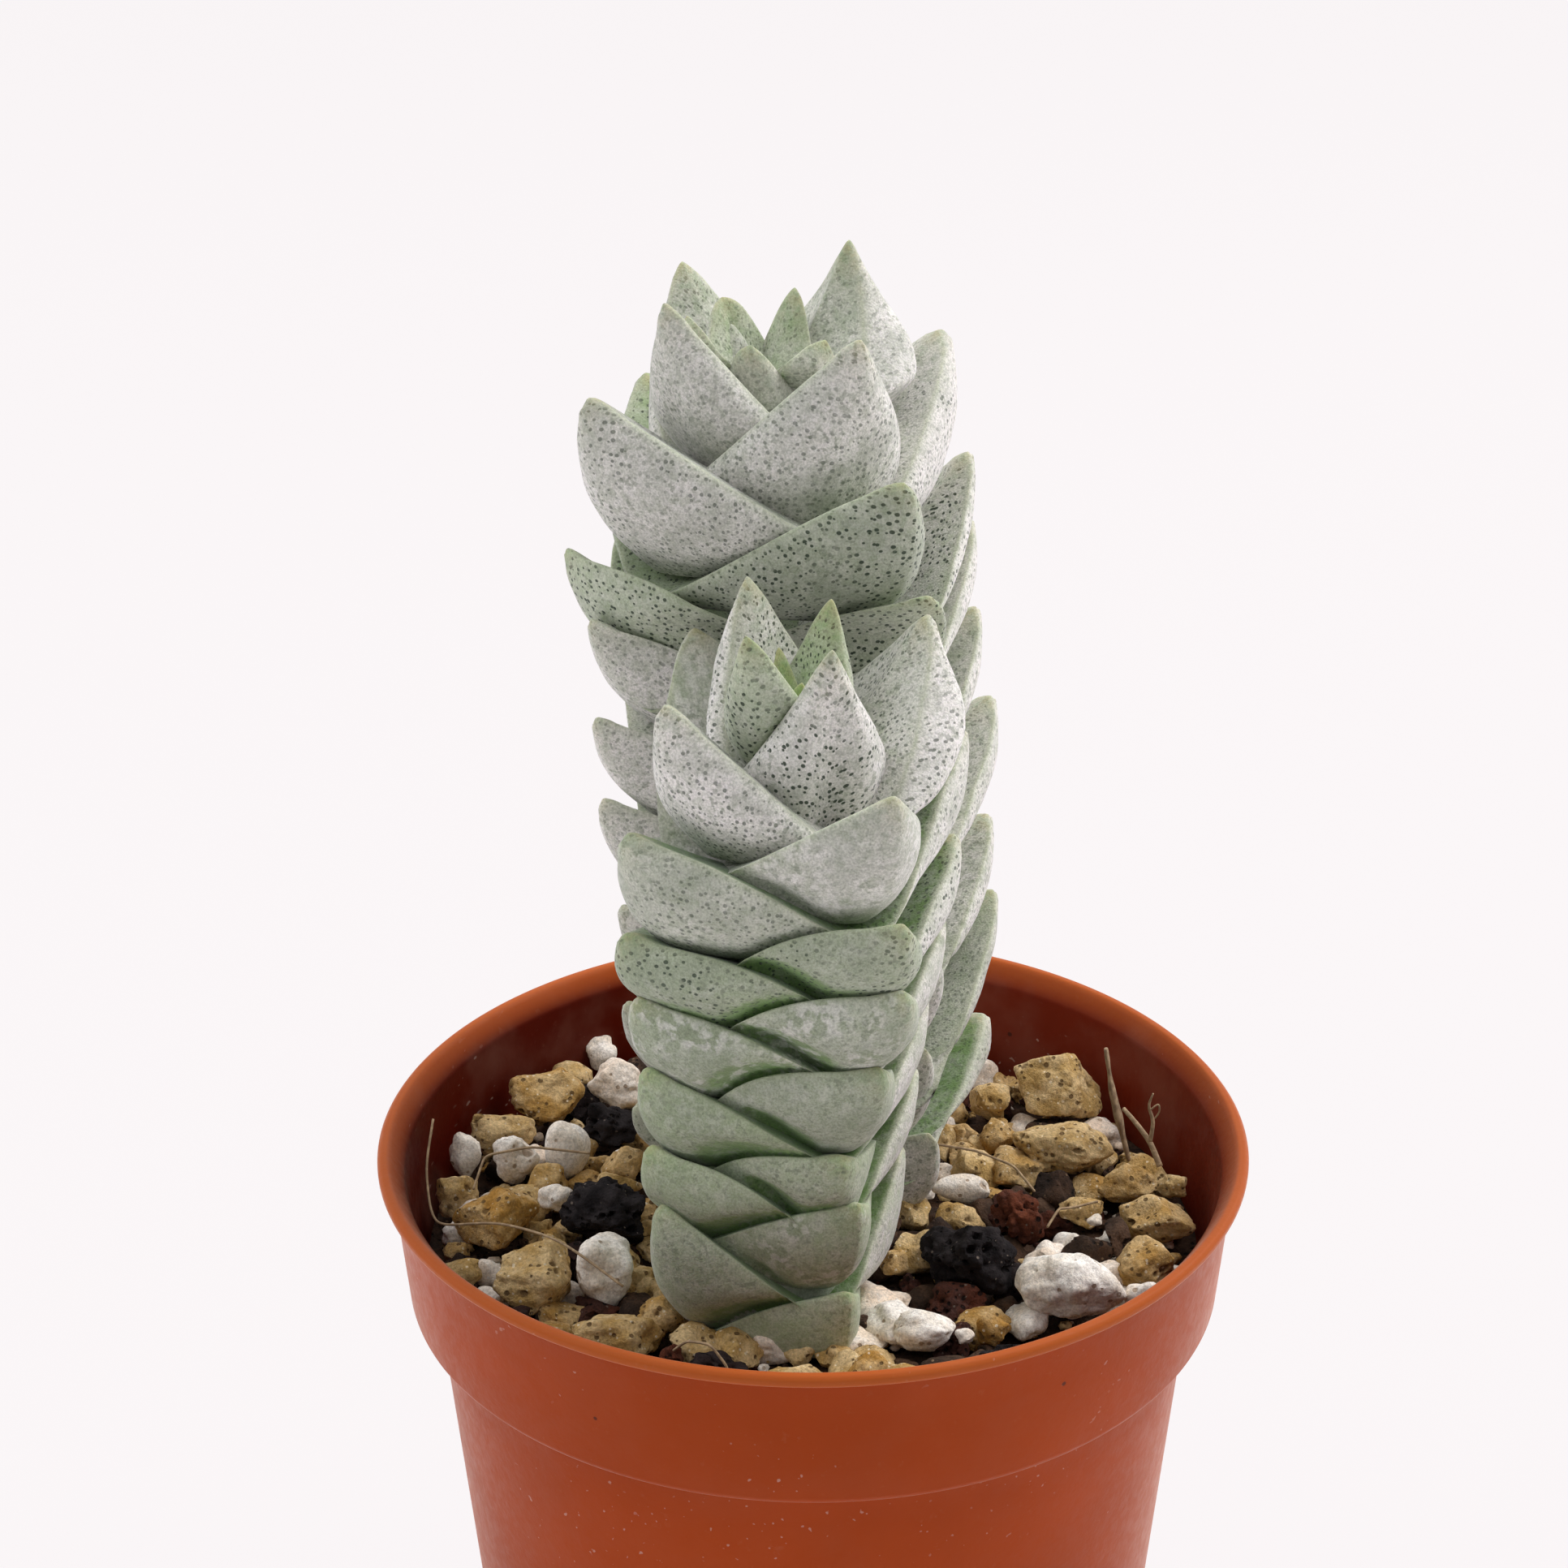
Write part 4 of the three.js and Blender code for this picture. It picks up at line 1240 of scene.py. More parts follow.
FRONT_STEM = LeafyStem(
    name="front_stem",
    axis=((44, -2.3, -9.0), (50, -2.2, -9.0), (60, -1.6, -9.2), (75, -1.0, -9.8), (90, -0.9, -10.4)),
    ranks={"L": -62, "R": 35},
    foot_radius=5.0,
    leans_back=False,
    # Pair bloom and green: partly the leaves' own colour, partly painted light and shade, less bloom on the middle
    # pairs and more green on the lowest.
    pairs=(
        RIGHT_CUSHION.at(
            "R", 47.4, 46.5, 7.4, curve=1.8, fall=4.4, depth=7, bloom=0.38, green=1.2, dots=0.1, blunt=1.5
        ),
        CUSHION.at("L", 53, 52, 8.6, depth=9.5, fall=7.7, curve=1.1, turn=5, bloom=0.4, green=1.1, dots=0.1),
        RIGHT_CUSHION.at(
            "R", 53.9, 54.2, 8.0, fall=4.2, curve=1.6, bloom=0.38, green=1.2, dots=0.1, scrape=0.8, blunt=1.5
        ),
        CUSHION.at("L", 56.7, 57.3, 9, fall=5.9, curve=2.2, bloom=0.28, green=0.75, dots=0.15),
        RIGHT_CUSHION.at(
            "R", 57.6, 58.1, 8.1, fall=3.8, curve=2.8, turn=-10, bloom=0.32, green=0.6, dots=0.3, blunt=1.4
        ),
        CUSHION.at("L", 62.1, 62.2, 9.4, fall=5.5, curve=1.45, bloom=0.2, green=0.45, dots=0.15),
        RIGHT_CUSHION.at("R", 63.7, 64, 9.1, fall=5.6, curve=3.4, bloom=0.28, dots=0.15, blunt=1.4),
        CUSHION.at("L", 67.2, 67.4, 10.2, turn=2, fall=5.1, curve=1.9, bloom=0.26, dots=0.15, scrape=0.9),
        RIGHT_CUSHION.at("R", 69.1, 70, 10.3, turn=3, fall=6.4, curve=2.8, bloom=0.38, dots=0.2, scrape=0.9, blunt=1.3),
        CUSHION.at("L", 71.4, 72.8, 10.9, fall=4.8, curve=2.7, bloom=0.22, dots=0.8),
        RIGHT_CUSHION.at("R", 73.7, 75, 10.6, fall=8, curve=2.5, bloom=0.26, dots=0.8, blunt=1.3),
        CUSHION.at("L", 78, 79.9, 11, fall=6.1, curve=1.55, turn=2, depth=8.2, bloom=0.45, dots=0.55, green=0.25),
        RIGHT_CUSHION.at(
            "R", 81.7, 85.3, 10.3, back_radius=10.4, back_hull=0.85, fall=7.5, curve=0.95, turn=-3, depth=9.2,
            bloom=0.62, green=0.15, dots=0.1, scrape=0.6, deep=0.15, blunt=1.2,
        ),
        HIGH.at(
            "L", 85.6, 87.6, 8.6, back_hull=1.3, fall=8.8, curve=0.96, turn=4, hull=1.06, dots=0.65, bloom=0.8,
            back_bloom=1.0,
        ),
        HIGH.at("R", 89, 90, 5.2, back_radius=5, depth=13, fall=9.2, curve=0.7, hull=1.3, turn=-13, dots=0.9),
        HIGH.at(
            "L", 89.2, 88.8, 4.6, back_radius=3.6, fall=8, curve=0.9, hull=1.15, depth=9, turn=24, back_turn=28,
            bloom=0.4, green=0.6, dots=1,
        ),
        HIGH.at("R", 85.4, 86.3, 1.8, fall=5, depth=6, turn=-25, bloom=0.2, green=0.9, dots=0.1),
    ),
)


# The stones


def unit_ball(steps: int) -> tuple[np.ndarray, np.ndarray]:
    """A ball of quads: six grids over the sides of a cube, spaced by tan(t pi/4), drawn out to radius 1 and welded.

    Args:
        steps: Quads along one side of the cube.

    Returns:
        The points, shape (n, 3), and the quads, shape (m, 4), facing outwards.
    """
    t = np.tan(np.linspace(-1, 1, steps + 1) * math.pi / 4)
    u, v = np.meshgrid(t, t, indexing="ij")
    i, j = np.meshgrid(np.arange(steps), np.arange(steps), indexing="ij")
    wide = steps + 1
    cell = np.stack([i * wide + j, (i + 1) * wide + j, (i + 1) * wide + j + 1, i * wide + j + 1], -1).reshape(-1, 4)
    points, quads = [], []
    for axis in range(3):
        for side in (-1.0, 1.0):
            sheet = np.stack(np.roll(np.array([side * np.ones_like(u), u, v]), axis, axis=0), -1).reshape(-1, 3)
            quads.append((cell if side > 0 else cell[:, ::-1]) + len(points) * wide * wide)
            points.append(sheet)
    every = np.concatenate(points)
    _, first, where = np.unique(np.round(every * 1e6).astype(np.int64), axis=0, return_index=True, return_inverse=True)
    kept = every[first]
    return kept / np.linalg.norm(kept, axis=1, keepdims=True), where.reshape(-1)[np.concatenate(quads)]


# How each kind breaks: its number of sides, how sharp their edges are, how rough it is and its share of pitted cells
BREAKAGE = {
    Rock.PUMICE: (9, 20, 1.0, 0.4),
    Rock.PERLITE: (12, 8, 0.9, 0.12),
    Rock.LAVA: (8, 16, 2.0, 0.75),
    Rock.BARK: (7, 22, 0.9, 0.1),
}


@dataclass(frozen=True)
class Stone:
    """One stone or grain: its kind, its place and its width, depth and height, in millimetres.

    Tone moves its colour and smooth takes its roughness away, both from 0 to 1, and turn is in radians.
    """

    kind: Rock
    x: float
    y: float
    width: float
    depth: float
    height: float
    foot_z: float = 42.95
    seed: int = 0
    tone: float = 0.2
    smooth: float = 0.0
    turn: float = 0.0

    def skin(self, ball: tuple[np.ndarray, np.ndarray]) -> Skin:
        """Shapes the stone.

        Its radius in a direction d is (sum of (d.n / h)^k)^(-1/k) over some broken sides with normals n and distances
        h, which gives a body with flat sides and blunt edges. Layered noise makes it uneven, small grains stand out
        by 0.45 minus their distance to a random point of their cell, and pits are sunk round such points.

        Args:
            ball: Points and quads of a unit ball.

        Returns:
            The closed skin, with the values pit and tone.
        """
        way, quads = ball
        rng = np.random.default_rng(self.seed)
        count, power, rough, share = BREAKAGE[self.kind]
        power, rough = power * (1 - 0.75 * self.smooth), rough * (1 - self.smooth)
        turns = np.arange(count) * GOLDEN_TURN + rng.uniform(0, 6.28)
        tall = 1 - 2 * (np.arange(count) + 0.5) / count
        flat = np.sqrt(1 - tall**2)
        normals = np.stack([flat * np.cos(turns), flat * np.sin(turns), tall], -1) + rng.normal(0, 0.28, (count, 3))
        normals /= np.linalg.norm(normals, axis=1, keepdims=True)
        reach = rng.uniform(0.62, 1.0, count)
        sides = np.sum((np.maximum(way @ normals.T, 0) / reach) ** power, axis=1) + 1.18**-power
        radius = sides ** (-1 / power)
        size = (self.width * self.depth * self.height) ** (1 / 3)
        place = way * radius[:, None] * size / 2 + 50 * rng.uniform(0, 1, 3)
        place = place + 0.12 * np.stack([layered_noise(place / 0.5, 1, self.seed + k) for k in (21, 22, 23)], -1)
        lumps = 0.1 * size * layered_noise(place / (0.36 * size), 2, self.seed)
        if self.kind is Rock.PERLITE:
            lumps = lumps + 0.3 * (0.5 - nearest_seed(place / 1.5, self.seed + 3)[0]) * 1.5
        crumbs = 0.16 * layered_noise(place / 0.75, 2, self.seed + 5)
        crumbs = crumbs + 0.2 * (0.45 - nearest_seed(place / 0.62, self.seed + 9)[0])
        gap, number = nearest_seed(place / 0.95, self.seed + 11)
        pit = np.where(number < share, smooth_step((0.18 + 0.3 * number / share - gap) / 0.16), 0.0)
        depth = 0.34 if self.kind is Rock.LAVA else 0.22
        radius = radius + rough * (lumps + crumbs - depth * pit) / (size / 2)
        points = way * radius[:, None]
        c, s = math.cos(self.turn), math.sin(self.turn)
        points = points @ np.array([[c, s, 0], [-s, c, 0], [0, 0, 1.0]])
        low, high = points.min(0), points.max(0)
        points = (points - (low + high) / 2) * np.array([self.width, self.depth, self.height]) / (high - low)
        points[:, 2] += self.height / 2
        tone = np.full(len(points), self.tone)
        return Skin(points, quads, values={"pit": pit, "tone": tone}).shifted(self.x, self.y, self.foot_z)


NAMED_STONES = (
    Stone(Rock.PUMICE, -17.9, 13.1, 5.2, 4.0, 3.8, tone=0.6),
    Stone(Rock.PERLITE, -13.2, 15.9, 4.2, 3.8, 3.4, tone=0.5),
    Stone(Rock.LAVA, -13.5, 10.6, 3.6, 3.2, 3.2, tone=0.0),
    Stone(Rock.PUMICE, -20.6, 9.4, 4.4, 3.0, 2.8, tone=0.3),
    Stone(Rock.PERLITE, -19.4, 5.4, 3.2, 3.0, 3.8, tone=0.15),
    Stone(Rock.PERLITE, -16.1, 6.6, 3.0, 3.0, 4.0, tone=0.1, smooth=0.75),
    Stone(Rock.PUMICE, -20.2, -2.2, 5.6, 5.0, 4.0, tone=0.95),
    Stone(Rock.LAVA, -13.4, -1.6, 5.6, 5.2, 4.2, tone=0.0),
    Stone(Rock.PUMICE, -17.3, -9.2, 4.8, 5.0, 4.2, tone=0.2),
    Stone(Rock.PERLITE, -12.9, -8.4, 3.6, 4.4, 4.6, tone=0.1, smooth=0.35),
    Stone(Rock.PUMICE, -11.9, -14.8, 5.4, 3.4, 3.0, tone=0.3),
    Stone(Rock.LAVA, -5.8, -18.4, 3.6, 2.8, 2.8, tone=0.1),
    Stone(Rock.PUMICE, -1.2, -19.8, 4.4, 2.8, 2.6, tone=0.3),
    Stone(Rock.PUMICE, 3.2, -19.2, 3.4, 3.0, 2.8, tone=0.95),
    Stone(Rock.PERLITE, 6.6, -14.2, 3.8, 2.2, 2.4, tone=0.0, smooth=0.3),
    Stone(Rock.LAVA, 9.6, -7.2, 6.0, 5.8, 4.6, tone=0.0),
    Stone(Rock.PERLITE, 15.6, -10.6, 6.8, 5.2, 4.6, tone=0.0),
    Stone(Rock.PUMICE, 16.8, 13.6, 6.0, 5.2, 4.8, tone=0.1),
    Stone(Rock.PUMICE, 16.6, 6.6, 6.6, 4.4, 3.4, tone=0.2),
    Stone(Rock.PUMICE, 20.6, 2.4, 4.4, 3.0, 3.0, tone=0.5),
    Stone(Rock.PUMICE, 21.9, -2.2, 4.8, 3.2, 3.0, tone=0.5),
    Stone(Rock.LAVA, 13.0, -1.8, 3.4, 3.2, 3.4, tone=1.0),
    Stone(Rock.PUMICE, 20.6, -7.4, 3.8, 3.2, 3.0, tone=0.6),
    Stone(Rock.LAVA, 11.9, -17.8, 4.6, 3.0, 2.6, tone=0.0),
    Stone(Rock.PUMICE, -8.6, 20.6, 4.6, 3.4, 3.2, tone=0.3),
    Stone(Rock.PERLITE, 1.4, 22.0, 4.4, 3.2, 3.2, tone=0.3),
    Stone(Rock.PUMICE, 9.0, 20.4, 4.0, 3.6, 3.0, tone=0.5),
)

SMALLER_STONES = (
    Stone(Rock.PUMICE, -16.6, 17.2, 3.2, 2.6, 2.4, 43.0),
    Stone(Rock.PERLITE, -14.6, 20.4, 2.3, 2.2, 2.2, 43.4),
    Stone(Rock.PERLITE, -22.8, 6.0, 2.2, 1.8, 3.2, 43.2),
    Stone(Rock.PUMICE, -12.4, 5.6, 3.0, 2.4, 2.6, 43.0, tone=0.5),
    Stone(Rock.PUMICE, -12.6, 2.9, 3.2, 2.4, 2.2, 43.0),
    Stone(Rock.PUMICE, -23.0, 2.2, 2.8, 2.6, 2.8, 42.8),
    Stone(Rock.PERLITE, -16.6, 1.6, 2.4, 1.8, 1.8, 43.3),
    Stone(Rock.PUMICE, -16.4, -4.0, 1.8, 1.8, 2.2, 42.8, tone=0.4),
    Stone(Rock.PUMICE, -22.2, -7.2, 3.2, 2.8, 2.2, 42.8),
    Stone(Rock.LAVA, -18.8, -12.8, 3.0, 2.2, 2.2, 43.2),
    Stone(Rock.PUMICE, -9.4, -11.6, 3.0, 2.4, 2.2, 42.8, tone=0.6),
    Stone(Rock.LAVA, 5.6, -19.6, 1.9, 1.9, 1.9, 43.2, tone=0.3),
    Stone(Rock.PUMICE, 5.0, -6.6, 1.8, 1.6, 1.6, 43.4, tone=0.5),
    Stone(Rock.PUMICE, 12.2, 13.2, 2.8, 3.0, 2.8, 43.0),
    Stone(Rock.PUMICE, 12.6, 9.4, 2.8, 2.8, 2.6, 42.6, tone=0.5),
    Stone(Rock.PUMICE, 17.2, -0.6, 3.0, 2.0, 1.8, 43.2, tone=0.4),
    Stone(Rock.PUMICE, 23.2, 1.0, 2.0, 1.8, 1.8, 44.2),
    Stone(Rock.PERLITE, 9.6, 2.2, 3.8, 1.7, 1.8, 43.4, smooth=0.6),
    Stone(Rock.PUMICE, 9.4, -1.4, 3.2, 2.8, 2.4, 43.0, tone=0.4),
    Stone(Rock.BARK, 17.2, -5.4, 3.4, 2.4, 2.2, 43.2),
    Stone(Rock.BARK, 19.2, -3.9, 1.6, 3.6, 1.8, 43.6, turn=0.4),
    Stone(Rock.PERLITE, 20.0, -11.4, 2.3, 1.6, 2.2, 43.6, tone=0.3, smooth=0.3),
    Stone(Rock.PUMICE, 10.8, -13.8, 2.2, 1.6, 2.0, 43.2, tone=1.0),
    Stone(Rock.PERLITE, 9.0, -14.6, 1.2, 1.0, 1.0, 43.6),
    Stone(Rock.BARK, 7.6, -17.4, 3.2, 1.8, 1.4, 43.0, tone=0.2),
    Stone(Rock.LAVA, 13.9, -16.2, 3.0, 1.8, 1.4, 43.4),
    Stone(Rock.PUMICE, 19.4, -12.2, 2.0, 1.6, 1.6, 42.6),
    Stone(Rock.LAVA, -8.6, -16.4, 1.5, 1.4, 1.4, 43.4, tone=1.0),
    Stone(Rock.PERLITE, 17.8, -3.0, 1.0, 0.9, 0.8, 44.6),
)


@dataclass
class StoneBed:
    """The topping: named stones on the grit, smaller ones between them, and fine grit in the gaps.

    The three counts of steps are the quads along a cube's side from which a stone of each of the three is made.
    """

    named: tuple[Stone, ...] = NAMED_STONES
    smaller: tuple[Stone, ...] = SMALLER_STONES
    bed_radius: float = 24.3
    bed_z: float = 42.4
    fill_count: int = 260
    grit_count: int = 1100
    stems: Triples = ((0.6, 6.6, 7.4), (-2.3, -9.0, 6.0))
    named_steps: int = 26
    smaller_steps: int = 9
    grit_steps: int = 3

    def fill(self) -> list[Stone]:
        """Throws stones at the bed, largest first, and keeps each that lands clear enough of those before it.

        At the front right most of them are dark.

        Returns:
            The kept stones.
        """
        rng = np.random.default_rng(20)
        taken = [(s.x, s.y, (s.width + s.depth) / 4) for s in (*self.named, *self.smaller)]
        taken += self.stems
        kept: list[Stone] = []
        for size in np.linspace(3.9, 1.1, self.fill_count):
            for _ in range(40):
                r = (self.bed_radius - size * 0.5) * math.sqrt(rng.uniform())
                turn = rng.uniform(0, 2 * math.pi)
                x, y = r * math.cos(turn), r * math.sin(turn)
                places = np.array(taken)
                room = np.hypot(places[:, 0] - x, places[:, 1] - y) - 0.6 * (places[:, 2] + size / 2)
                if room.min() > 0:
                    break
            else:
                continue
            dark = 0.72 if x > 2 and y < 4 else 0.16
            kind = rng.choice(list(Rock), p=[0.8 - dark, 0.2, dark * 0.4, dark * 0.6])
            squash = rng.uniform(0.6, 0.9)
            width, depth = size * rng.uniform(0.75, 1.2, 2)
            foot_z = self.bed_z - 0.2 * size + rng.uniform(0, 0.4)
            seed = int(rng.integers(1 << 30))
            tone, turn = rng.uniform(0, 0.8), rng.uniform(0, 3)
            stone = Stone(kind, x, y, width, depth, size * squash, foot_z, seed=seed, tone=tone, turn=turn)
            kept.append(stone)
            taken.append((x, y, size / 2))
        return kept

    def grit(self) -> list[Stone]:
        """Fine grains, a third to just over one millimetre, strewn evenly over the whole bed.

        Returns:
            The grains.
        """
        rng = np.random.default_rng(33)
        r = (self.bed_radius - 0.3) * np.sqrt(rng.uniform(size=self.grit_count))
        turn = rng.uniform(0, 2 * math.pi, self.grit_count)
        size = 0.35 + 0.8 * rng.uniform(size=self.grit_count) ** 2
        kinds = rng.choice(list(Rock), self.grit_count, p=[0.32, 0.12, 0.2, 0.36])
        grains = []
        for kind, a, t, width in zip(kinds, r, turn, size):
            depth, height = width * rng.uniform(0.6, 1.0), width * rng.uniform(0.5, 0.9)
            foot_z = self.bed_z - 0.1 + rng.uniform(0, 0.35)
            seed = int(rng.integers(1 << 30))
            place = a * math.cos(t), a * math.sin(t)
            grains.append(Stone(kind, *place, width, depth, height, foot_z, seed=seed, tone=rng.uniform(0, 1)))
        return grains

    def build(self, finishes: dict[Rock, Material]) -> list[Object]:
        """Builds every named stone as its own piece, and the rest joined by kind.

        Args:
            finishes: A material for each kind.

        Returns:
            The pieces.
        """
        fine, middle, coarse = unit_ball(self.named_steps), unit_ball(self.smaller_steps), unit_ball(self.grit_steps)
        pieces = []
        for number, stone in enumerate(self.named, 1):
            node = f"{stone.kind.value}_stone_{number:02d}"
            skin = replace(stone, seed=100 + number).skin(fine)
            piece = make_piece(skin, f"{node}_rough", finishes[stone.kind], STONE_CREASE)
            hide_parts(node)
            pieces.append(piece)
        smaller = [replace(s, seed=500 + k) for k, s in enumerate(self.smaller)] + self.fill()
        grains = self.grit()
        for kind in Rock:
            group = [s.skin(middle) for s in smaller if s.kind is kind]
            gravel = make_piece(joined(group), f"{kind.value}_gravel", finishes[kind], STONE_CREASE)
            pieces.append(gravel)
            group = [s.skin(coarse) for s in grains if s.kind is kind]
            pieces.append(make_piece(joined(group), f"{kind.value}_grit", finishes[kind]))
        return pieces


# Soil, pot and litter


@dataclass
class Soil:
    """Dark humus and grit that fills the pot, with a lumpy top."""

    wall_radius: float = 24.65
    top_z: float = 42.4
    side: tuple[tuple[float, float], ...] = ((24.65, 41.2), (23.0, 39.5), (19.6, 2.8))
    rings: int = 90
    sides: int = 240

    def build(self, material: Material) -> Object:
        """Builds the soil: a disc of rings whose height follows layered noise, and a plain tapered side below it.

        Args:
            material: The soil's finish.

        Returns:
            The piece.
        """
        turn = np.linspace(0, 2 * np.pi, self.sides, endpoint=False)
        r = np.linspace(0.3, self.wall_radius, self.rings)[:, None] * np.ones((1, self.sides))
        x, y = r * np.cos(turn), r * np.sin(turn)
        place = np.stack([x, y, np.zeros_like(x)], -1)
        lumps = 0.3 * layered_noise(place / 2.6, 3, 3) + 0.13 * layered_noise(place / 0.7, 2, 8)
        z = self.top_z - 0.25 + lumps
        side_r, side_z = np.array(self.side).T[:, :, None] * np.ones((1, self.sides))
        side = np.stack([side_r * np.cos(turn), side_r * np.sin(turn), side_z], -1)
        grid = np.concatenate([np.stack([x, y, z], -1), side])
        zero = np.zeros(grid.shape[:2])
        top, foot = np.array([0, 0, self.top_z - 0.2]), np.array([0, 0, self.side[-1][1]])
        skin = ring_skin(grid, top, foot, {"pit": zero, "tone": zero + 0.3})
        piece = make_piece(skin, "soil_grit", material)
        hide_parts("soil")
        return piece


@dataclass
class Pot:
    """Round tapered pot with a rolled lip, a collar, a foot ring and drain holes."""

    height: float = 50.0
    lip_radius: float = 27.5
    lip_depth: float = 0.75
    collar_top: float = 26.69
    collar_foot: float = 25.9
    collar_z: float = 40.3
    body_top: float = 24.27
    foot_radius: float = 20.6
    wall: float = 0.85
    drain_ring: float = 12.0
    drain_radius: float = 2.6
    sides: int = 256

    def profile(self) -> tuple[np.ndarray, np.ndarray, np.ndarray]:
        """The pot's section, from the middle of its underside, out, up and back in, with corners cut by short steps.

        Returns:
            Radii and heights, shape (n, 2), and the values edge and inside, each shape (n,).
        """
        foot, top, lip = self.foot_radius, self.height, self.lip_radius
        under_lip = top - self.lip_depth
        corners = np.array(
            [
                (0.4, 1.2, 0, 0),
                (foot - 2.4, 1.2, 0, 0),
                (foot - 2.1, 0.0, 0, 0),
                (foot - 0.3, 0.0, 0, 0),
                (foot, 0.4, 0, 0),
                (self.body_top, self.collar_z - 0.3, 0, 0),
                (self.collar_foot - 0.35, self.collar_z - 0.2, 0, 0),
                (self.collar_foot, self.collar_z + 0.2, 0, 0),
                (self.collar_top, under_lip, 0, 0),
                (lip - 0.15, under_lip, 1, 0),
                (lip, under_lip + 0.22, 1, 0),
                (lip, top - 0.22, 1, 0),
                (lip - 0.22, top, 1, 0),
                (lip - 0.62, top, 1, 0),
                (lip - 0.85, top - 0.22, 0.7, 0.3),
                (self.collar_top - self.wall, under_lip - 0.6, 0, 1),
                (self.collar_foot - self.wall, self.collar_z + 0.7, 0, 1),
                (self.body_top - self.wall, self.collar_z - 0.6, 0, 1),
                (foot - self.wall + 0.2, 2.7, 0, 1),
                (foot - self.wall - 0.4, 2.2, 0, 1),
                (0.4, 2.2, 0, 1),
            ]
        )
        path = np.concatenate([[0], np.cumsum(np.hypot(*np.diff(corners[:, :2], axis=0).T))])
        cuts = [corners[:1]]
        for k in range(1, len(corners) - 1):
            short = min(path[k] - path[k - 1], path[k + 1] - path[k])
            step = min(0.3 * short, 0.16)
            spots = path[k] + step * np.array([-1.0, -0.45, 0.45, 1.0])
            near = np.stack([np.interp(spots, path, corners[:, c]) for c in range(4)], -1)
            near[1:3, :2] += 0.25 * (near[[0, 3], :2].mean(0) - corners[k, :2])
            cuts.append(near)
        cuts.append(corners[-1:])
        dense = np.concatenate(cuts)
        length = np.concatenate([[0], np.cumsum(np.hypot(*np.diff(dense[:, :2], axis=0).T))])
        longest = 2.5
        stretches = zip(length, length[1:])
        extra = [np.linspace(a, b, max(int((b - a) / longest), 1), endpoint=False) for a, b in stretches]
        spots = np.unique(np.round(np.append(np.concatenate(extra), length[-1]), 6))
        fine = np.stack([np.interp(spots, length, dense[:, c]) for c in range(4)], -1)
        return fine[:, :2], fine[:, 2], fine[:, 3]

    def drilled(self, piece: Object) -> None:
        """Cuts seven round drain holes through the floor: one in the middle and six round it, 12 mm out.

        Args:
            piece: The pot's shell.
        """
        turns = np.radians([0, 60, 120, 180, 240, 300])
        centres = [(0.0, 0.0)] + [(self.drain_ring * math.cos(t), self.drain_ring * math.sin(t)) for t in turns]
        ring = np.linspace(0, 2 * np.pi, 40, endpoint=False)
        above, below = 4.0, -1.0
        drills = []
        for x, y in centres:
            around = x + self.drain_radius * np.cos(ring), y + self.drain_radius * np.sin(ring)
            levels = [np.stack([*around, np.full(40, z)], -1) for z in (above, below)]
            drills.append(ring_skin(np.array(levels), np.array([x, y, above]), np.array([x, y, below])))
        drill = new_object("drills", new_mesh(joined(drills), "drills"))
        cut = piece.modifiers.new("drain_holes", "BOOLEAN")
        cut.operation, cut.solver, cut.object = "DIFFERENCE", "EXACT", drill
        bpy.context.view_layer.update()
        done = bpy.data.meshes.new_from_object(piece.evaluated_get(bpy.context.evaluated_depsgraph_get()))
        piece.modifiers.clear()
        done.name = piece.name
        piece.data = done
        bpy.data.objects.remove(drill)

    def build(self, material: Material) -> Object:
        """Builds the pot by carrying its section round the axis, with under a tenth of a millimetre of moulding wobble.

        Args:
            material: The plastic.

        Returns:
            The piece.
        """
        section, edge, inside = self.profile()
        section, edge, inside = section[::-1], edge[::-1], inside[::-1]
        turn = np.linspace(0, 2 * np.pi, self.sides, endpoint=False)
        rise = section[:, 1:] / self.height
        wobble = 1 + 0.0022 * rise * np.cos(2 * turn + 0.7) + 0.001 * rise * np.cos(5 * turn + 2)
        r = section[:, :1] * np.minimum(wobble, 1.0)
        grid = np.stack([r * np.cos(turn), r * np.sin(turn), section[:, 1:] * np.ones_like(r)], -1)
        values = {"edge": edge[:, None] * np.ones_like(r), "inside": inside[:, None] * np.ones_like(r)}
        skin = ring_skin(grid, np.array([0, 0, section[0, 1]]), np.array([0, 0, section[-1, 1]]), values)
        piece = make_piece(skin, "pot_shell", material)
        self.drilled(piece)
        piece.data.set_sharp_from_angle(angle=math.radians(50))
        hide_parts("pot")
        return piece


def tube_skin(path: np.ndarray, radius: np.ndarray, sides: int = 7, flat: float = 1.0, tone: float = 0.0) -> Skin:
    """Carries a ring along a path: each ring lies square to the path and has the radius given there.

    Args:
        path: Points of the path, shape (n, 3).
        radius: Radius at each point, shape (n,).
        sides: Points round the ring.
        flat: Share of the radius that is left across the ring's second direction.
        tone: The value tone of the whole skin.

    Returns:
        The closed skin, with the values pit and tone.
    """
    ahead = np.gradient(path, axis=0)
    ahead /= np.linalg.norm(ahead, axis=1, keepdims=True)
    side = np.cross(ahead, np.array([0.31, 0.17, 0.93]))
    side /= np.linalg.norm(side, axis=1, keepdims=True)
    other = np.cross(ahead, side)
    turn = np.linspace(0, 2 * np.pi, sides, endpoint=False)
    ring = side[:, None] * np.cos(turn)[None, :, None] + flat * other[:, None] * np.sin(turn)[None, :, None]
    grid = (path[:, None] + ring * radius[:, None, None])[::-1]
    zero = np.zeros(grid.shape[:2])
    return ring_skin(grid, path[-1], path[0], {"pit": zero, "tone": zero + tone})


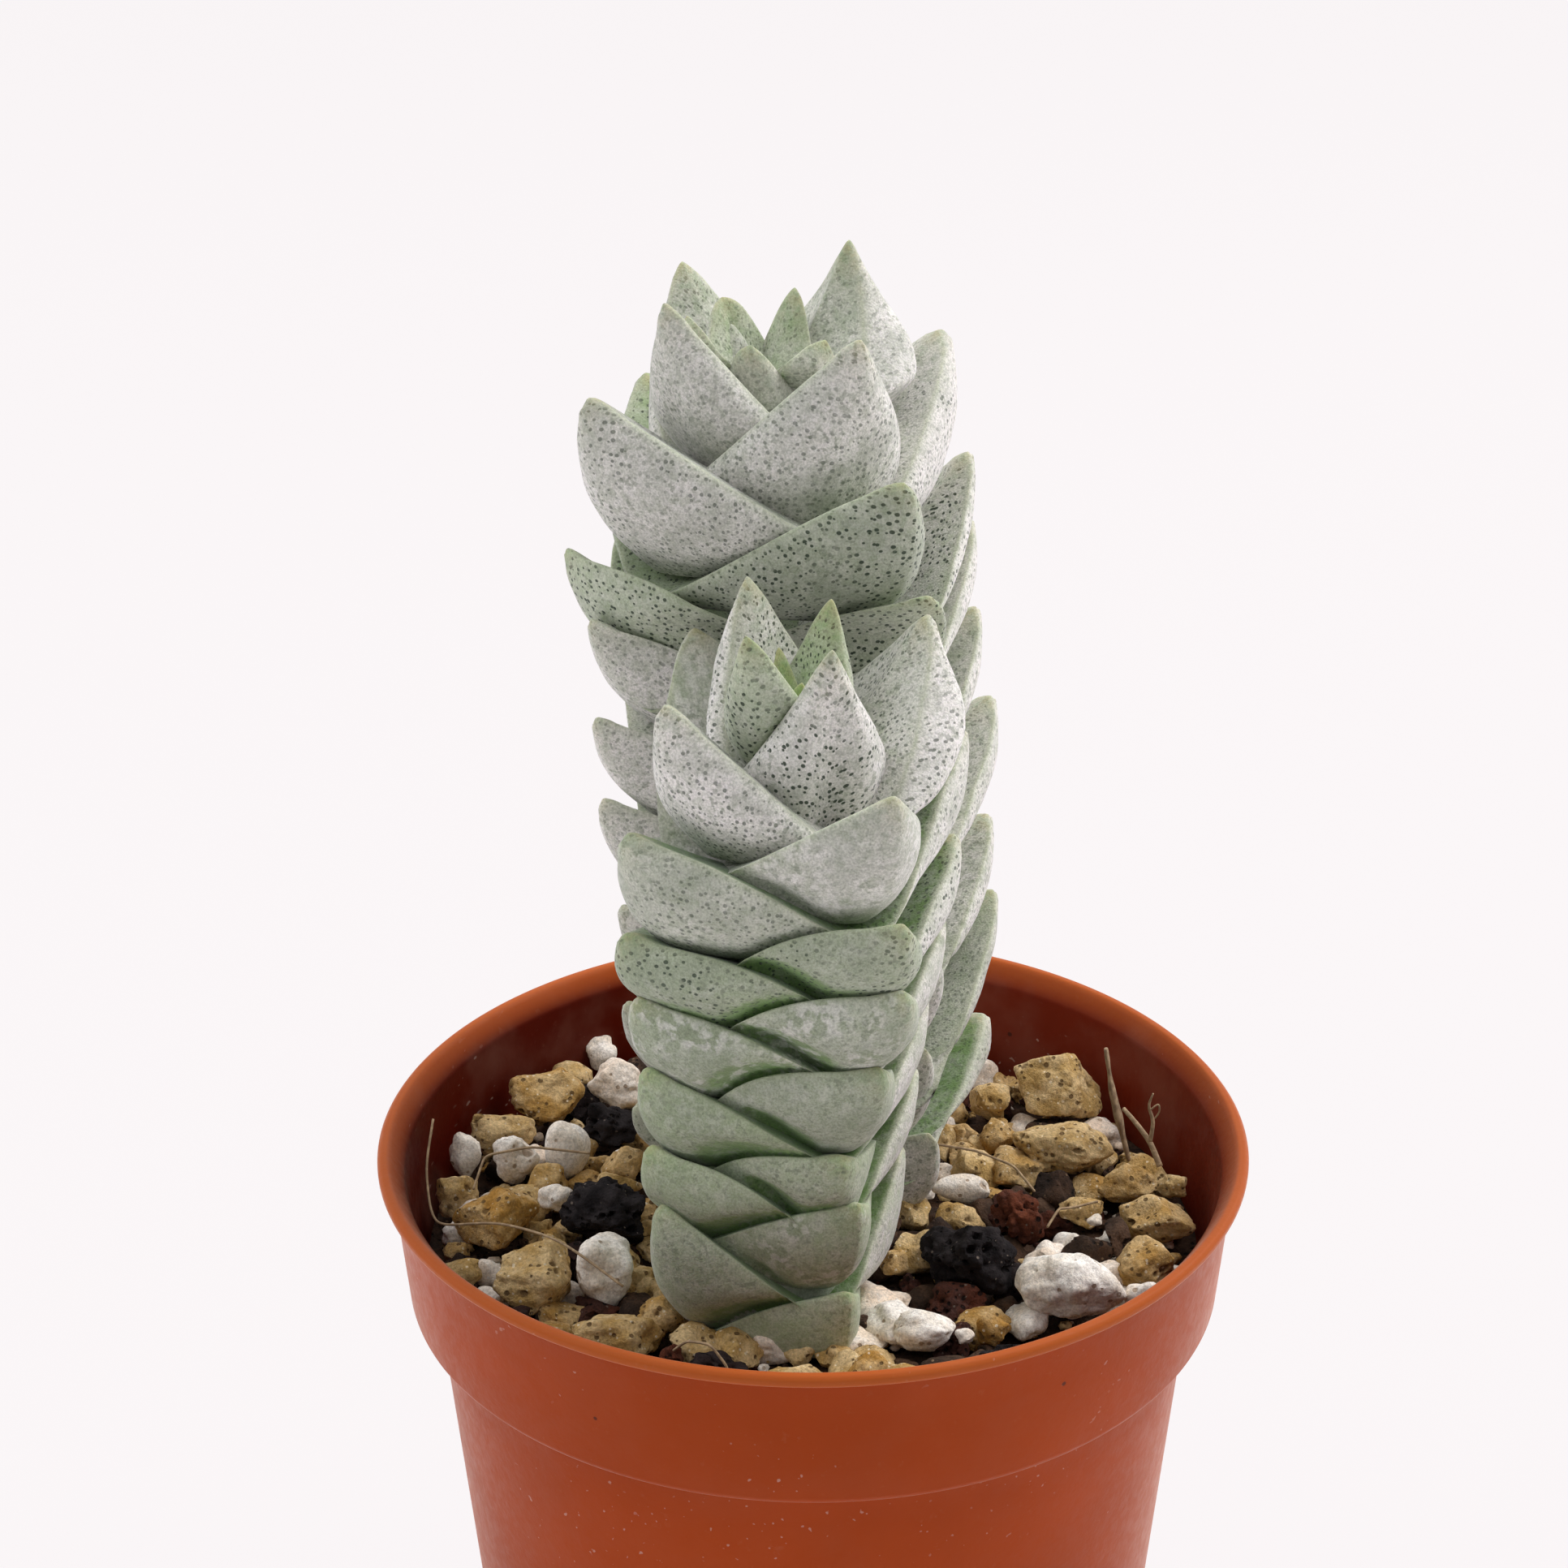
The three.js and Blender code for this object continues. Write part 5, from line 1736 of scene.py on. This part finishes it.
def smooth_path(knots: Triples, count: int = 40) -> np.ndarray:
    """A smooth path through a few knots: straight stretches, averaged with their neighbours until they bend softly.

    Args:
        knots: The knots.
        count: How many points the path gets.

    Returns:
        The points, shape (count, 3).
    """
    rough = np.array(knots, float)
    at = np.linspace(0, len(rough) - 1, count)
    path = np.stack([np.interp(at, np.arange(len(rough)), rough[:, k]) for k in range(3)], -1)
    for _ in range(12):
        path[1:-1] = 0.25 * path[:-2] + 0.5 * path[1:-1] + 0.25 * path[2:]
    return path


@dataclass
class Litter:
    """A dry twig, a scrap of root and thin fibres that lie on the stones.

    Each branch of the root scrap has its knots, its radius at either end and its number of sides.
    """

    fibres: tuple[Triples, ...] = (
        (
            (-24.6, 4.4, 48.4),
            (-24.9, 1.5, 46.6),
            (-24.4, -1.6, 45.4),
            (-23.6, -4.2, 45.6),
            (-19.6, -6.4, 47.3),
            (-15.6, -9.4, 47.9),
            (-11.6, -12.4, 46.4),
        ),
        ((-21.8, 0.6, 45.4), (-21.2, 2.8, 46.6), (-18.2, 3.2, 47.0), (-14.4, 3.0, 46.6)),
        ((8.0, 4.6, 46.2), (10.6, 3.4, 46.4), (13.0, 1.8, 46.2), (14.2, -0.4, 45.6)),
        ((-8.4, -17.8, 45.4), (-7.6, -18.6, 46.6), (-6.2, -19.4, 46.9), (-5.2, -19.8, 45.6), (-5.2, -20.0, 44.6)),
        ((14.8, -3.4, 44.8), (15.6, -2.2, 45.4), (16.6, -1.4, 45.0), (18.2, -1.0, 45.2)),
    )
    twig: Triples = ((19.2, 6.8, 52.0), (19.6, 6.2, 49.4), (20.2, 5.6, 47.0), (20.8, 5.0, 44.6))
    roots: tuple[tuple[Triples, float, float, int], ...] = (
        (((22.4, 1.6, 46.2), (21.8, 2.4, 47.6), (20.8, 3.4, 48.6), (20.2, 4.2, 49.0)), 0.22, 0.14, 8),
        (((21.8, 2.4, 47.6), (22.0, 2.6, 49.0), (21.6, 2.8, 50.0), (21.9, 2.8, 50.9)), 0.16, 0.06, 8),
        (((21.7, 2.7, 49.7), (22.3, 2.8, 50.2), (22.4, 2.9, 49.5), (22.1, 2.9, 49.0)), 0.06, 0.06, 6),
    )

    def build(self, material: Material) -> list[Object]:
        """Builds the fibres, the twig and the root scrap.

        Args:
            material: The dry fibre.

        Returns:
            The pieces.
        """
        threads = [tube_skin(smooth_path(knots, 60), np.full(60, 0.085)) for knots in self.fibres]
        pieces = [make_piece(joined(threads), "thin_fibres", material)]
        at = np.linspace(0, 1, 40)
        path = smooth_path(self.twig, 40)
        width = 0.3 + 0.34 * np.exp(-(((at - 0.55) / 0.25) ** 2)) + 0.05 * np.sin(23 * at)
        strip = tube_skin(path, width, 12, 0.45, 0.5)
        roots = [
            tube_skin(smooth_path(knots, 30), np.linspace(thick, thin, 30), sides)
            for knots, thick, thin, sides in self.roots
        ]
        pieces.append(make_piece(strip, "dry_twig", material))
        pieces.append(make_piece(joined(roots), "root_scrap", material))
        return pieces


# Floor, light and camera


@dataclass
class Studio:
    """Plain pale floor, soft light from above, behind and the sides, and the photograph's camera."""

    lens: float = 74.53
    camera_at: tuple[float, float, float] = (-1.68, -179.3, 154.2)
    pitch: float = 24.08
    roll: float = -0.34
    floor_colour: Colour = (0.93, 0.9, 0.905)
    backdrop: Colour = (0.95, 0.913, 0.923)
    sky_colour: Colour = (1.0, 0.985, 0.99)
    sky_strength: float = 0.58
    sky_rise: tuple[tuple[int, float], ...] = ((1, 0.42), (0, 0.14), (2, 0.16))

    def camera(self) -> None:
        """Sets the camera where the pot's ellipses in the photograph put it: 24 degrees down, looking along +Y."""
        data = bpy.data.cameras.new("camera")
        data.sensor_width, data.lens, data.clip_start = 36.0, self.lens, 0.01
        camera = new_object("camera", data)
        pitch = math.radians(self.pitch)
        ahead = Vector((0, math.cos(pitch), -math.sin(pitch)))
        up = Vector((0, math.sin(pitch), math.cos(pitch)))
        level = Matrix((Vector((1, 0, 0)), up, -ahead)).transposed()
        turned = level @ Matrix.Rotation(math.radians(self.roll), 3, "Z")
        camera.matrix_world = Matrix.Translation(Vector(self.camera_at) * MM) @ turned.to_4x4()
        bpy.context.scene.camera = camera

    def softbox(self, name: str, at: tuple[float, float, float], size: float, power: float, colour: Colour) -> None:
        """Adds a square soft light that faces the plant.

        Args:
            name: The light's name.
            at: Its place, in metres.
            size: Its side, in metres.
            power: Its power, in watts.
            colour: Its colour.
        """
        data = bpy.data.lights.new(name, "AREA")
        data.size, data.energy, data.color = size, power, colour
        light = new_object(name, data)
        light.location = at
        light.rotation_euler = (Vector((0, 0, 0.07)) - Vector(at)).to_track_quat("-Z", "Y").to_euler()

    def floor(self) -> None:
        """Builds the floor, which the camera sees as one even pale tone."""
        mesh = bpy.data.meshes.new("floor")
        mesh.from_pydata([(-3, -3, 0), (3, -3, 0), (3, 3, 0), (-3, 3, 0)], [], [(0, 1, 2, 3)])
        material = bpy.data.materials.new("pale_floor")
        material.use_nodes = True
        web = Web(material.node_tree)
        shader = material.node_tree.nodes["Principled BSDF"]
        shader.inputs["Base Color"].default_value = (*self.floor_colour, 1)
        shader.inputs["Roughness"].default_value = 0.9
        shader.inputs["Specular IOR Level"].default_value = 0.1
        glow = web.add("ShaderNodeEmission", {"Color": self.backdrop})
        seen = web.times(web.add("ShaderNodeLightPath").outputs["Is Camera Ray"], 0.96)
        mixed = web.add("ShaderNodeMixShader", {0: seen, 1: shader.outputs[0], 2: glow.outputs[0]})
        web.feed(material.node_tree.nodes["Material Output"].inputs["Surface"], mixed.outputs[0])
        mesh.materials.append(material)
        floor = new_object("floor", mesh)

    def sky(self) -> None:
        """Builds the sky of soft light. Its strength climbs along Y, X and Z by the shares in sky_rise."""
        world = bpy.data.worlds.new("soft_sky")
        world.use_nodes = True
        bpy.context.scene.world = world
        web = Web(world.node_tree)
        way = web.add("ShaderNodeTexCoord").outputs["Generated"]
        parts = web.add("ShaderNodeSeparateXYZ", {0: way}).outputs
        strength: object = self.sky_strength
        for axis, share in self.sky_rise:
            strength = web.free("MULTIPLY_ADD", parts[axis], share, strength)
        background = world.node_tree.nodes["Background"]
        web.feed(background.inputs["Color"], self.sky_colour)
        web.feed(background.inputs["Strength"], strength)

    def build(self) -> None:
        """Builds the floor, the sky, the softboxes and the camera."""
        self.floor()
        self.sky()
        self.softbox("key", (0.32, 0.14, 0.5), 0.42, 2.5, (1.0, 0.985, 0.97))
        self.softbox("fill", (-0.42, 0.0, 0.42), 0.5, 1.3, (0.97, 0.985, 1.0))
        bpy.context.scene.view_settings.view_transform = "Standard"
        self.camera()


def main() -> None:
    """Loads the frame and builds every piece in order."""
    logging.basicConfig(level=logging.INFO, format="%(message)s")
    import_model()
    Studio().build()
    effects = SharedEffects()
    stones = {kind: finish.make(effects) for kind, finish in STONE_FINISHES.items()}
    Pot().build(PotPlastic().make(effects))
    Soil().build(stones[Rock.BARK])
    leaf = LeafWax().make(effects)
    REAR_STEM.build(leaf)
    FRONT_STEM.build(leaf)
    StoneBed().build(stones)
    Litter().build(DryFibre().make(effects))
    bpy.context.view_layer.update()


if __name__ == "__main__":
    main()
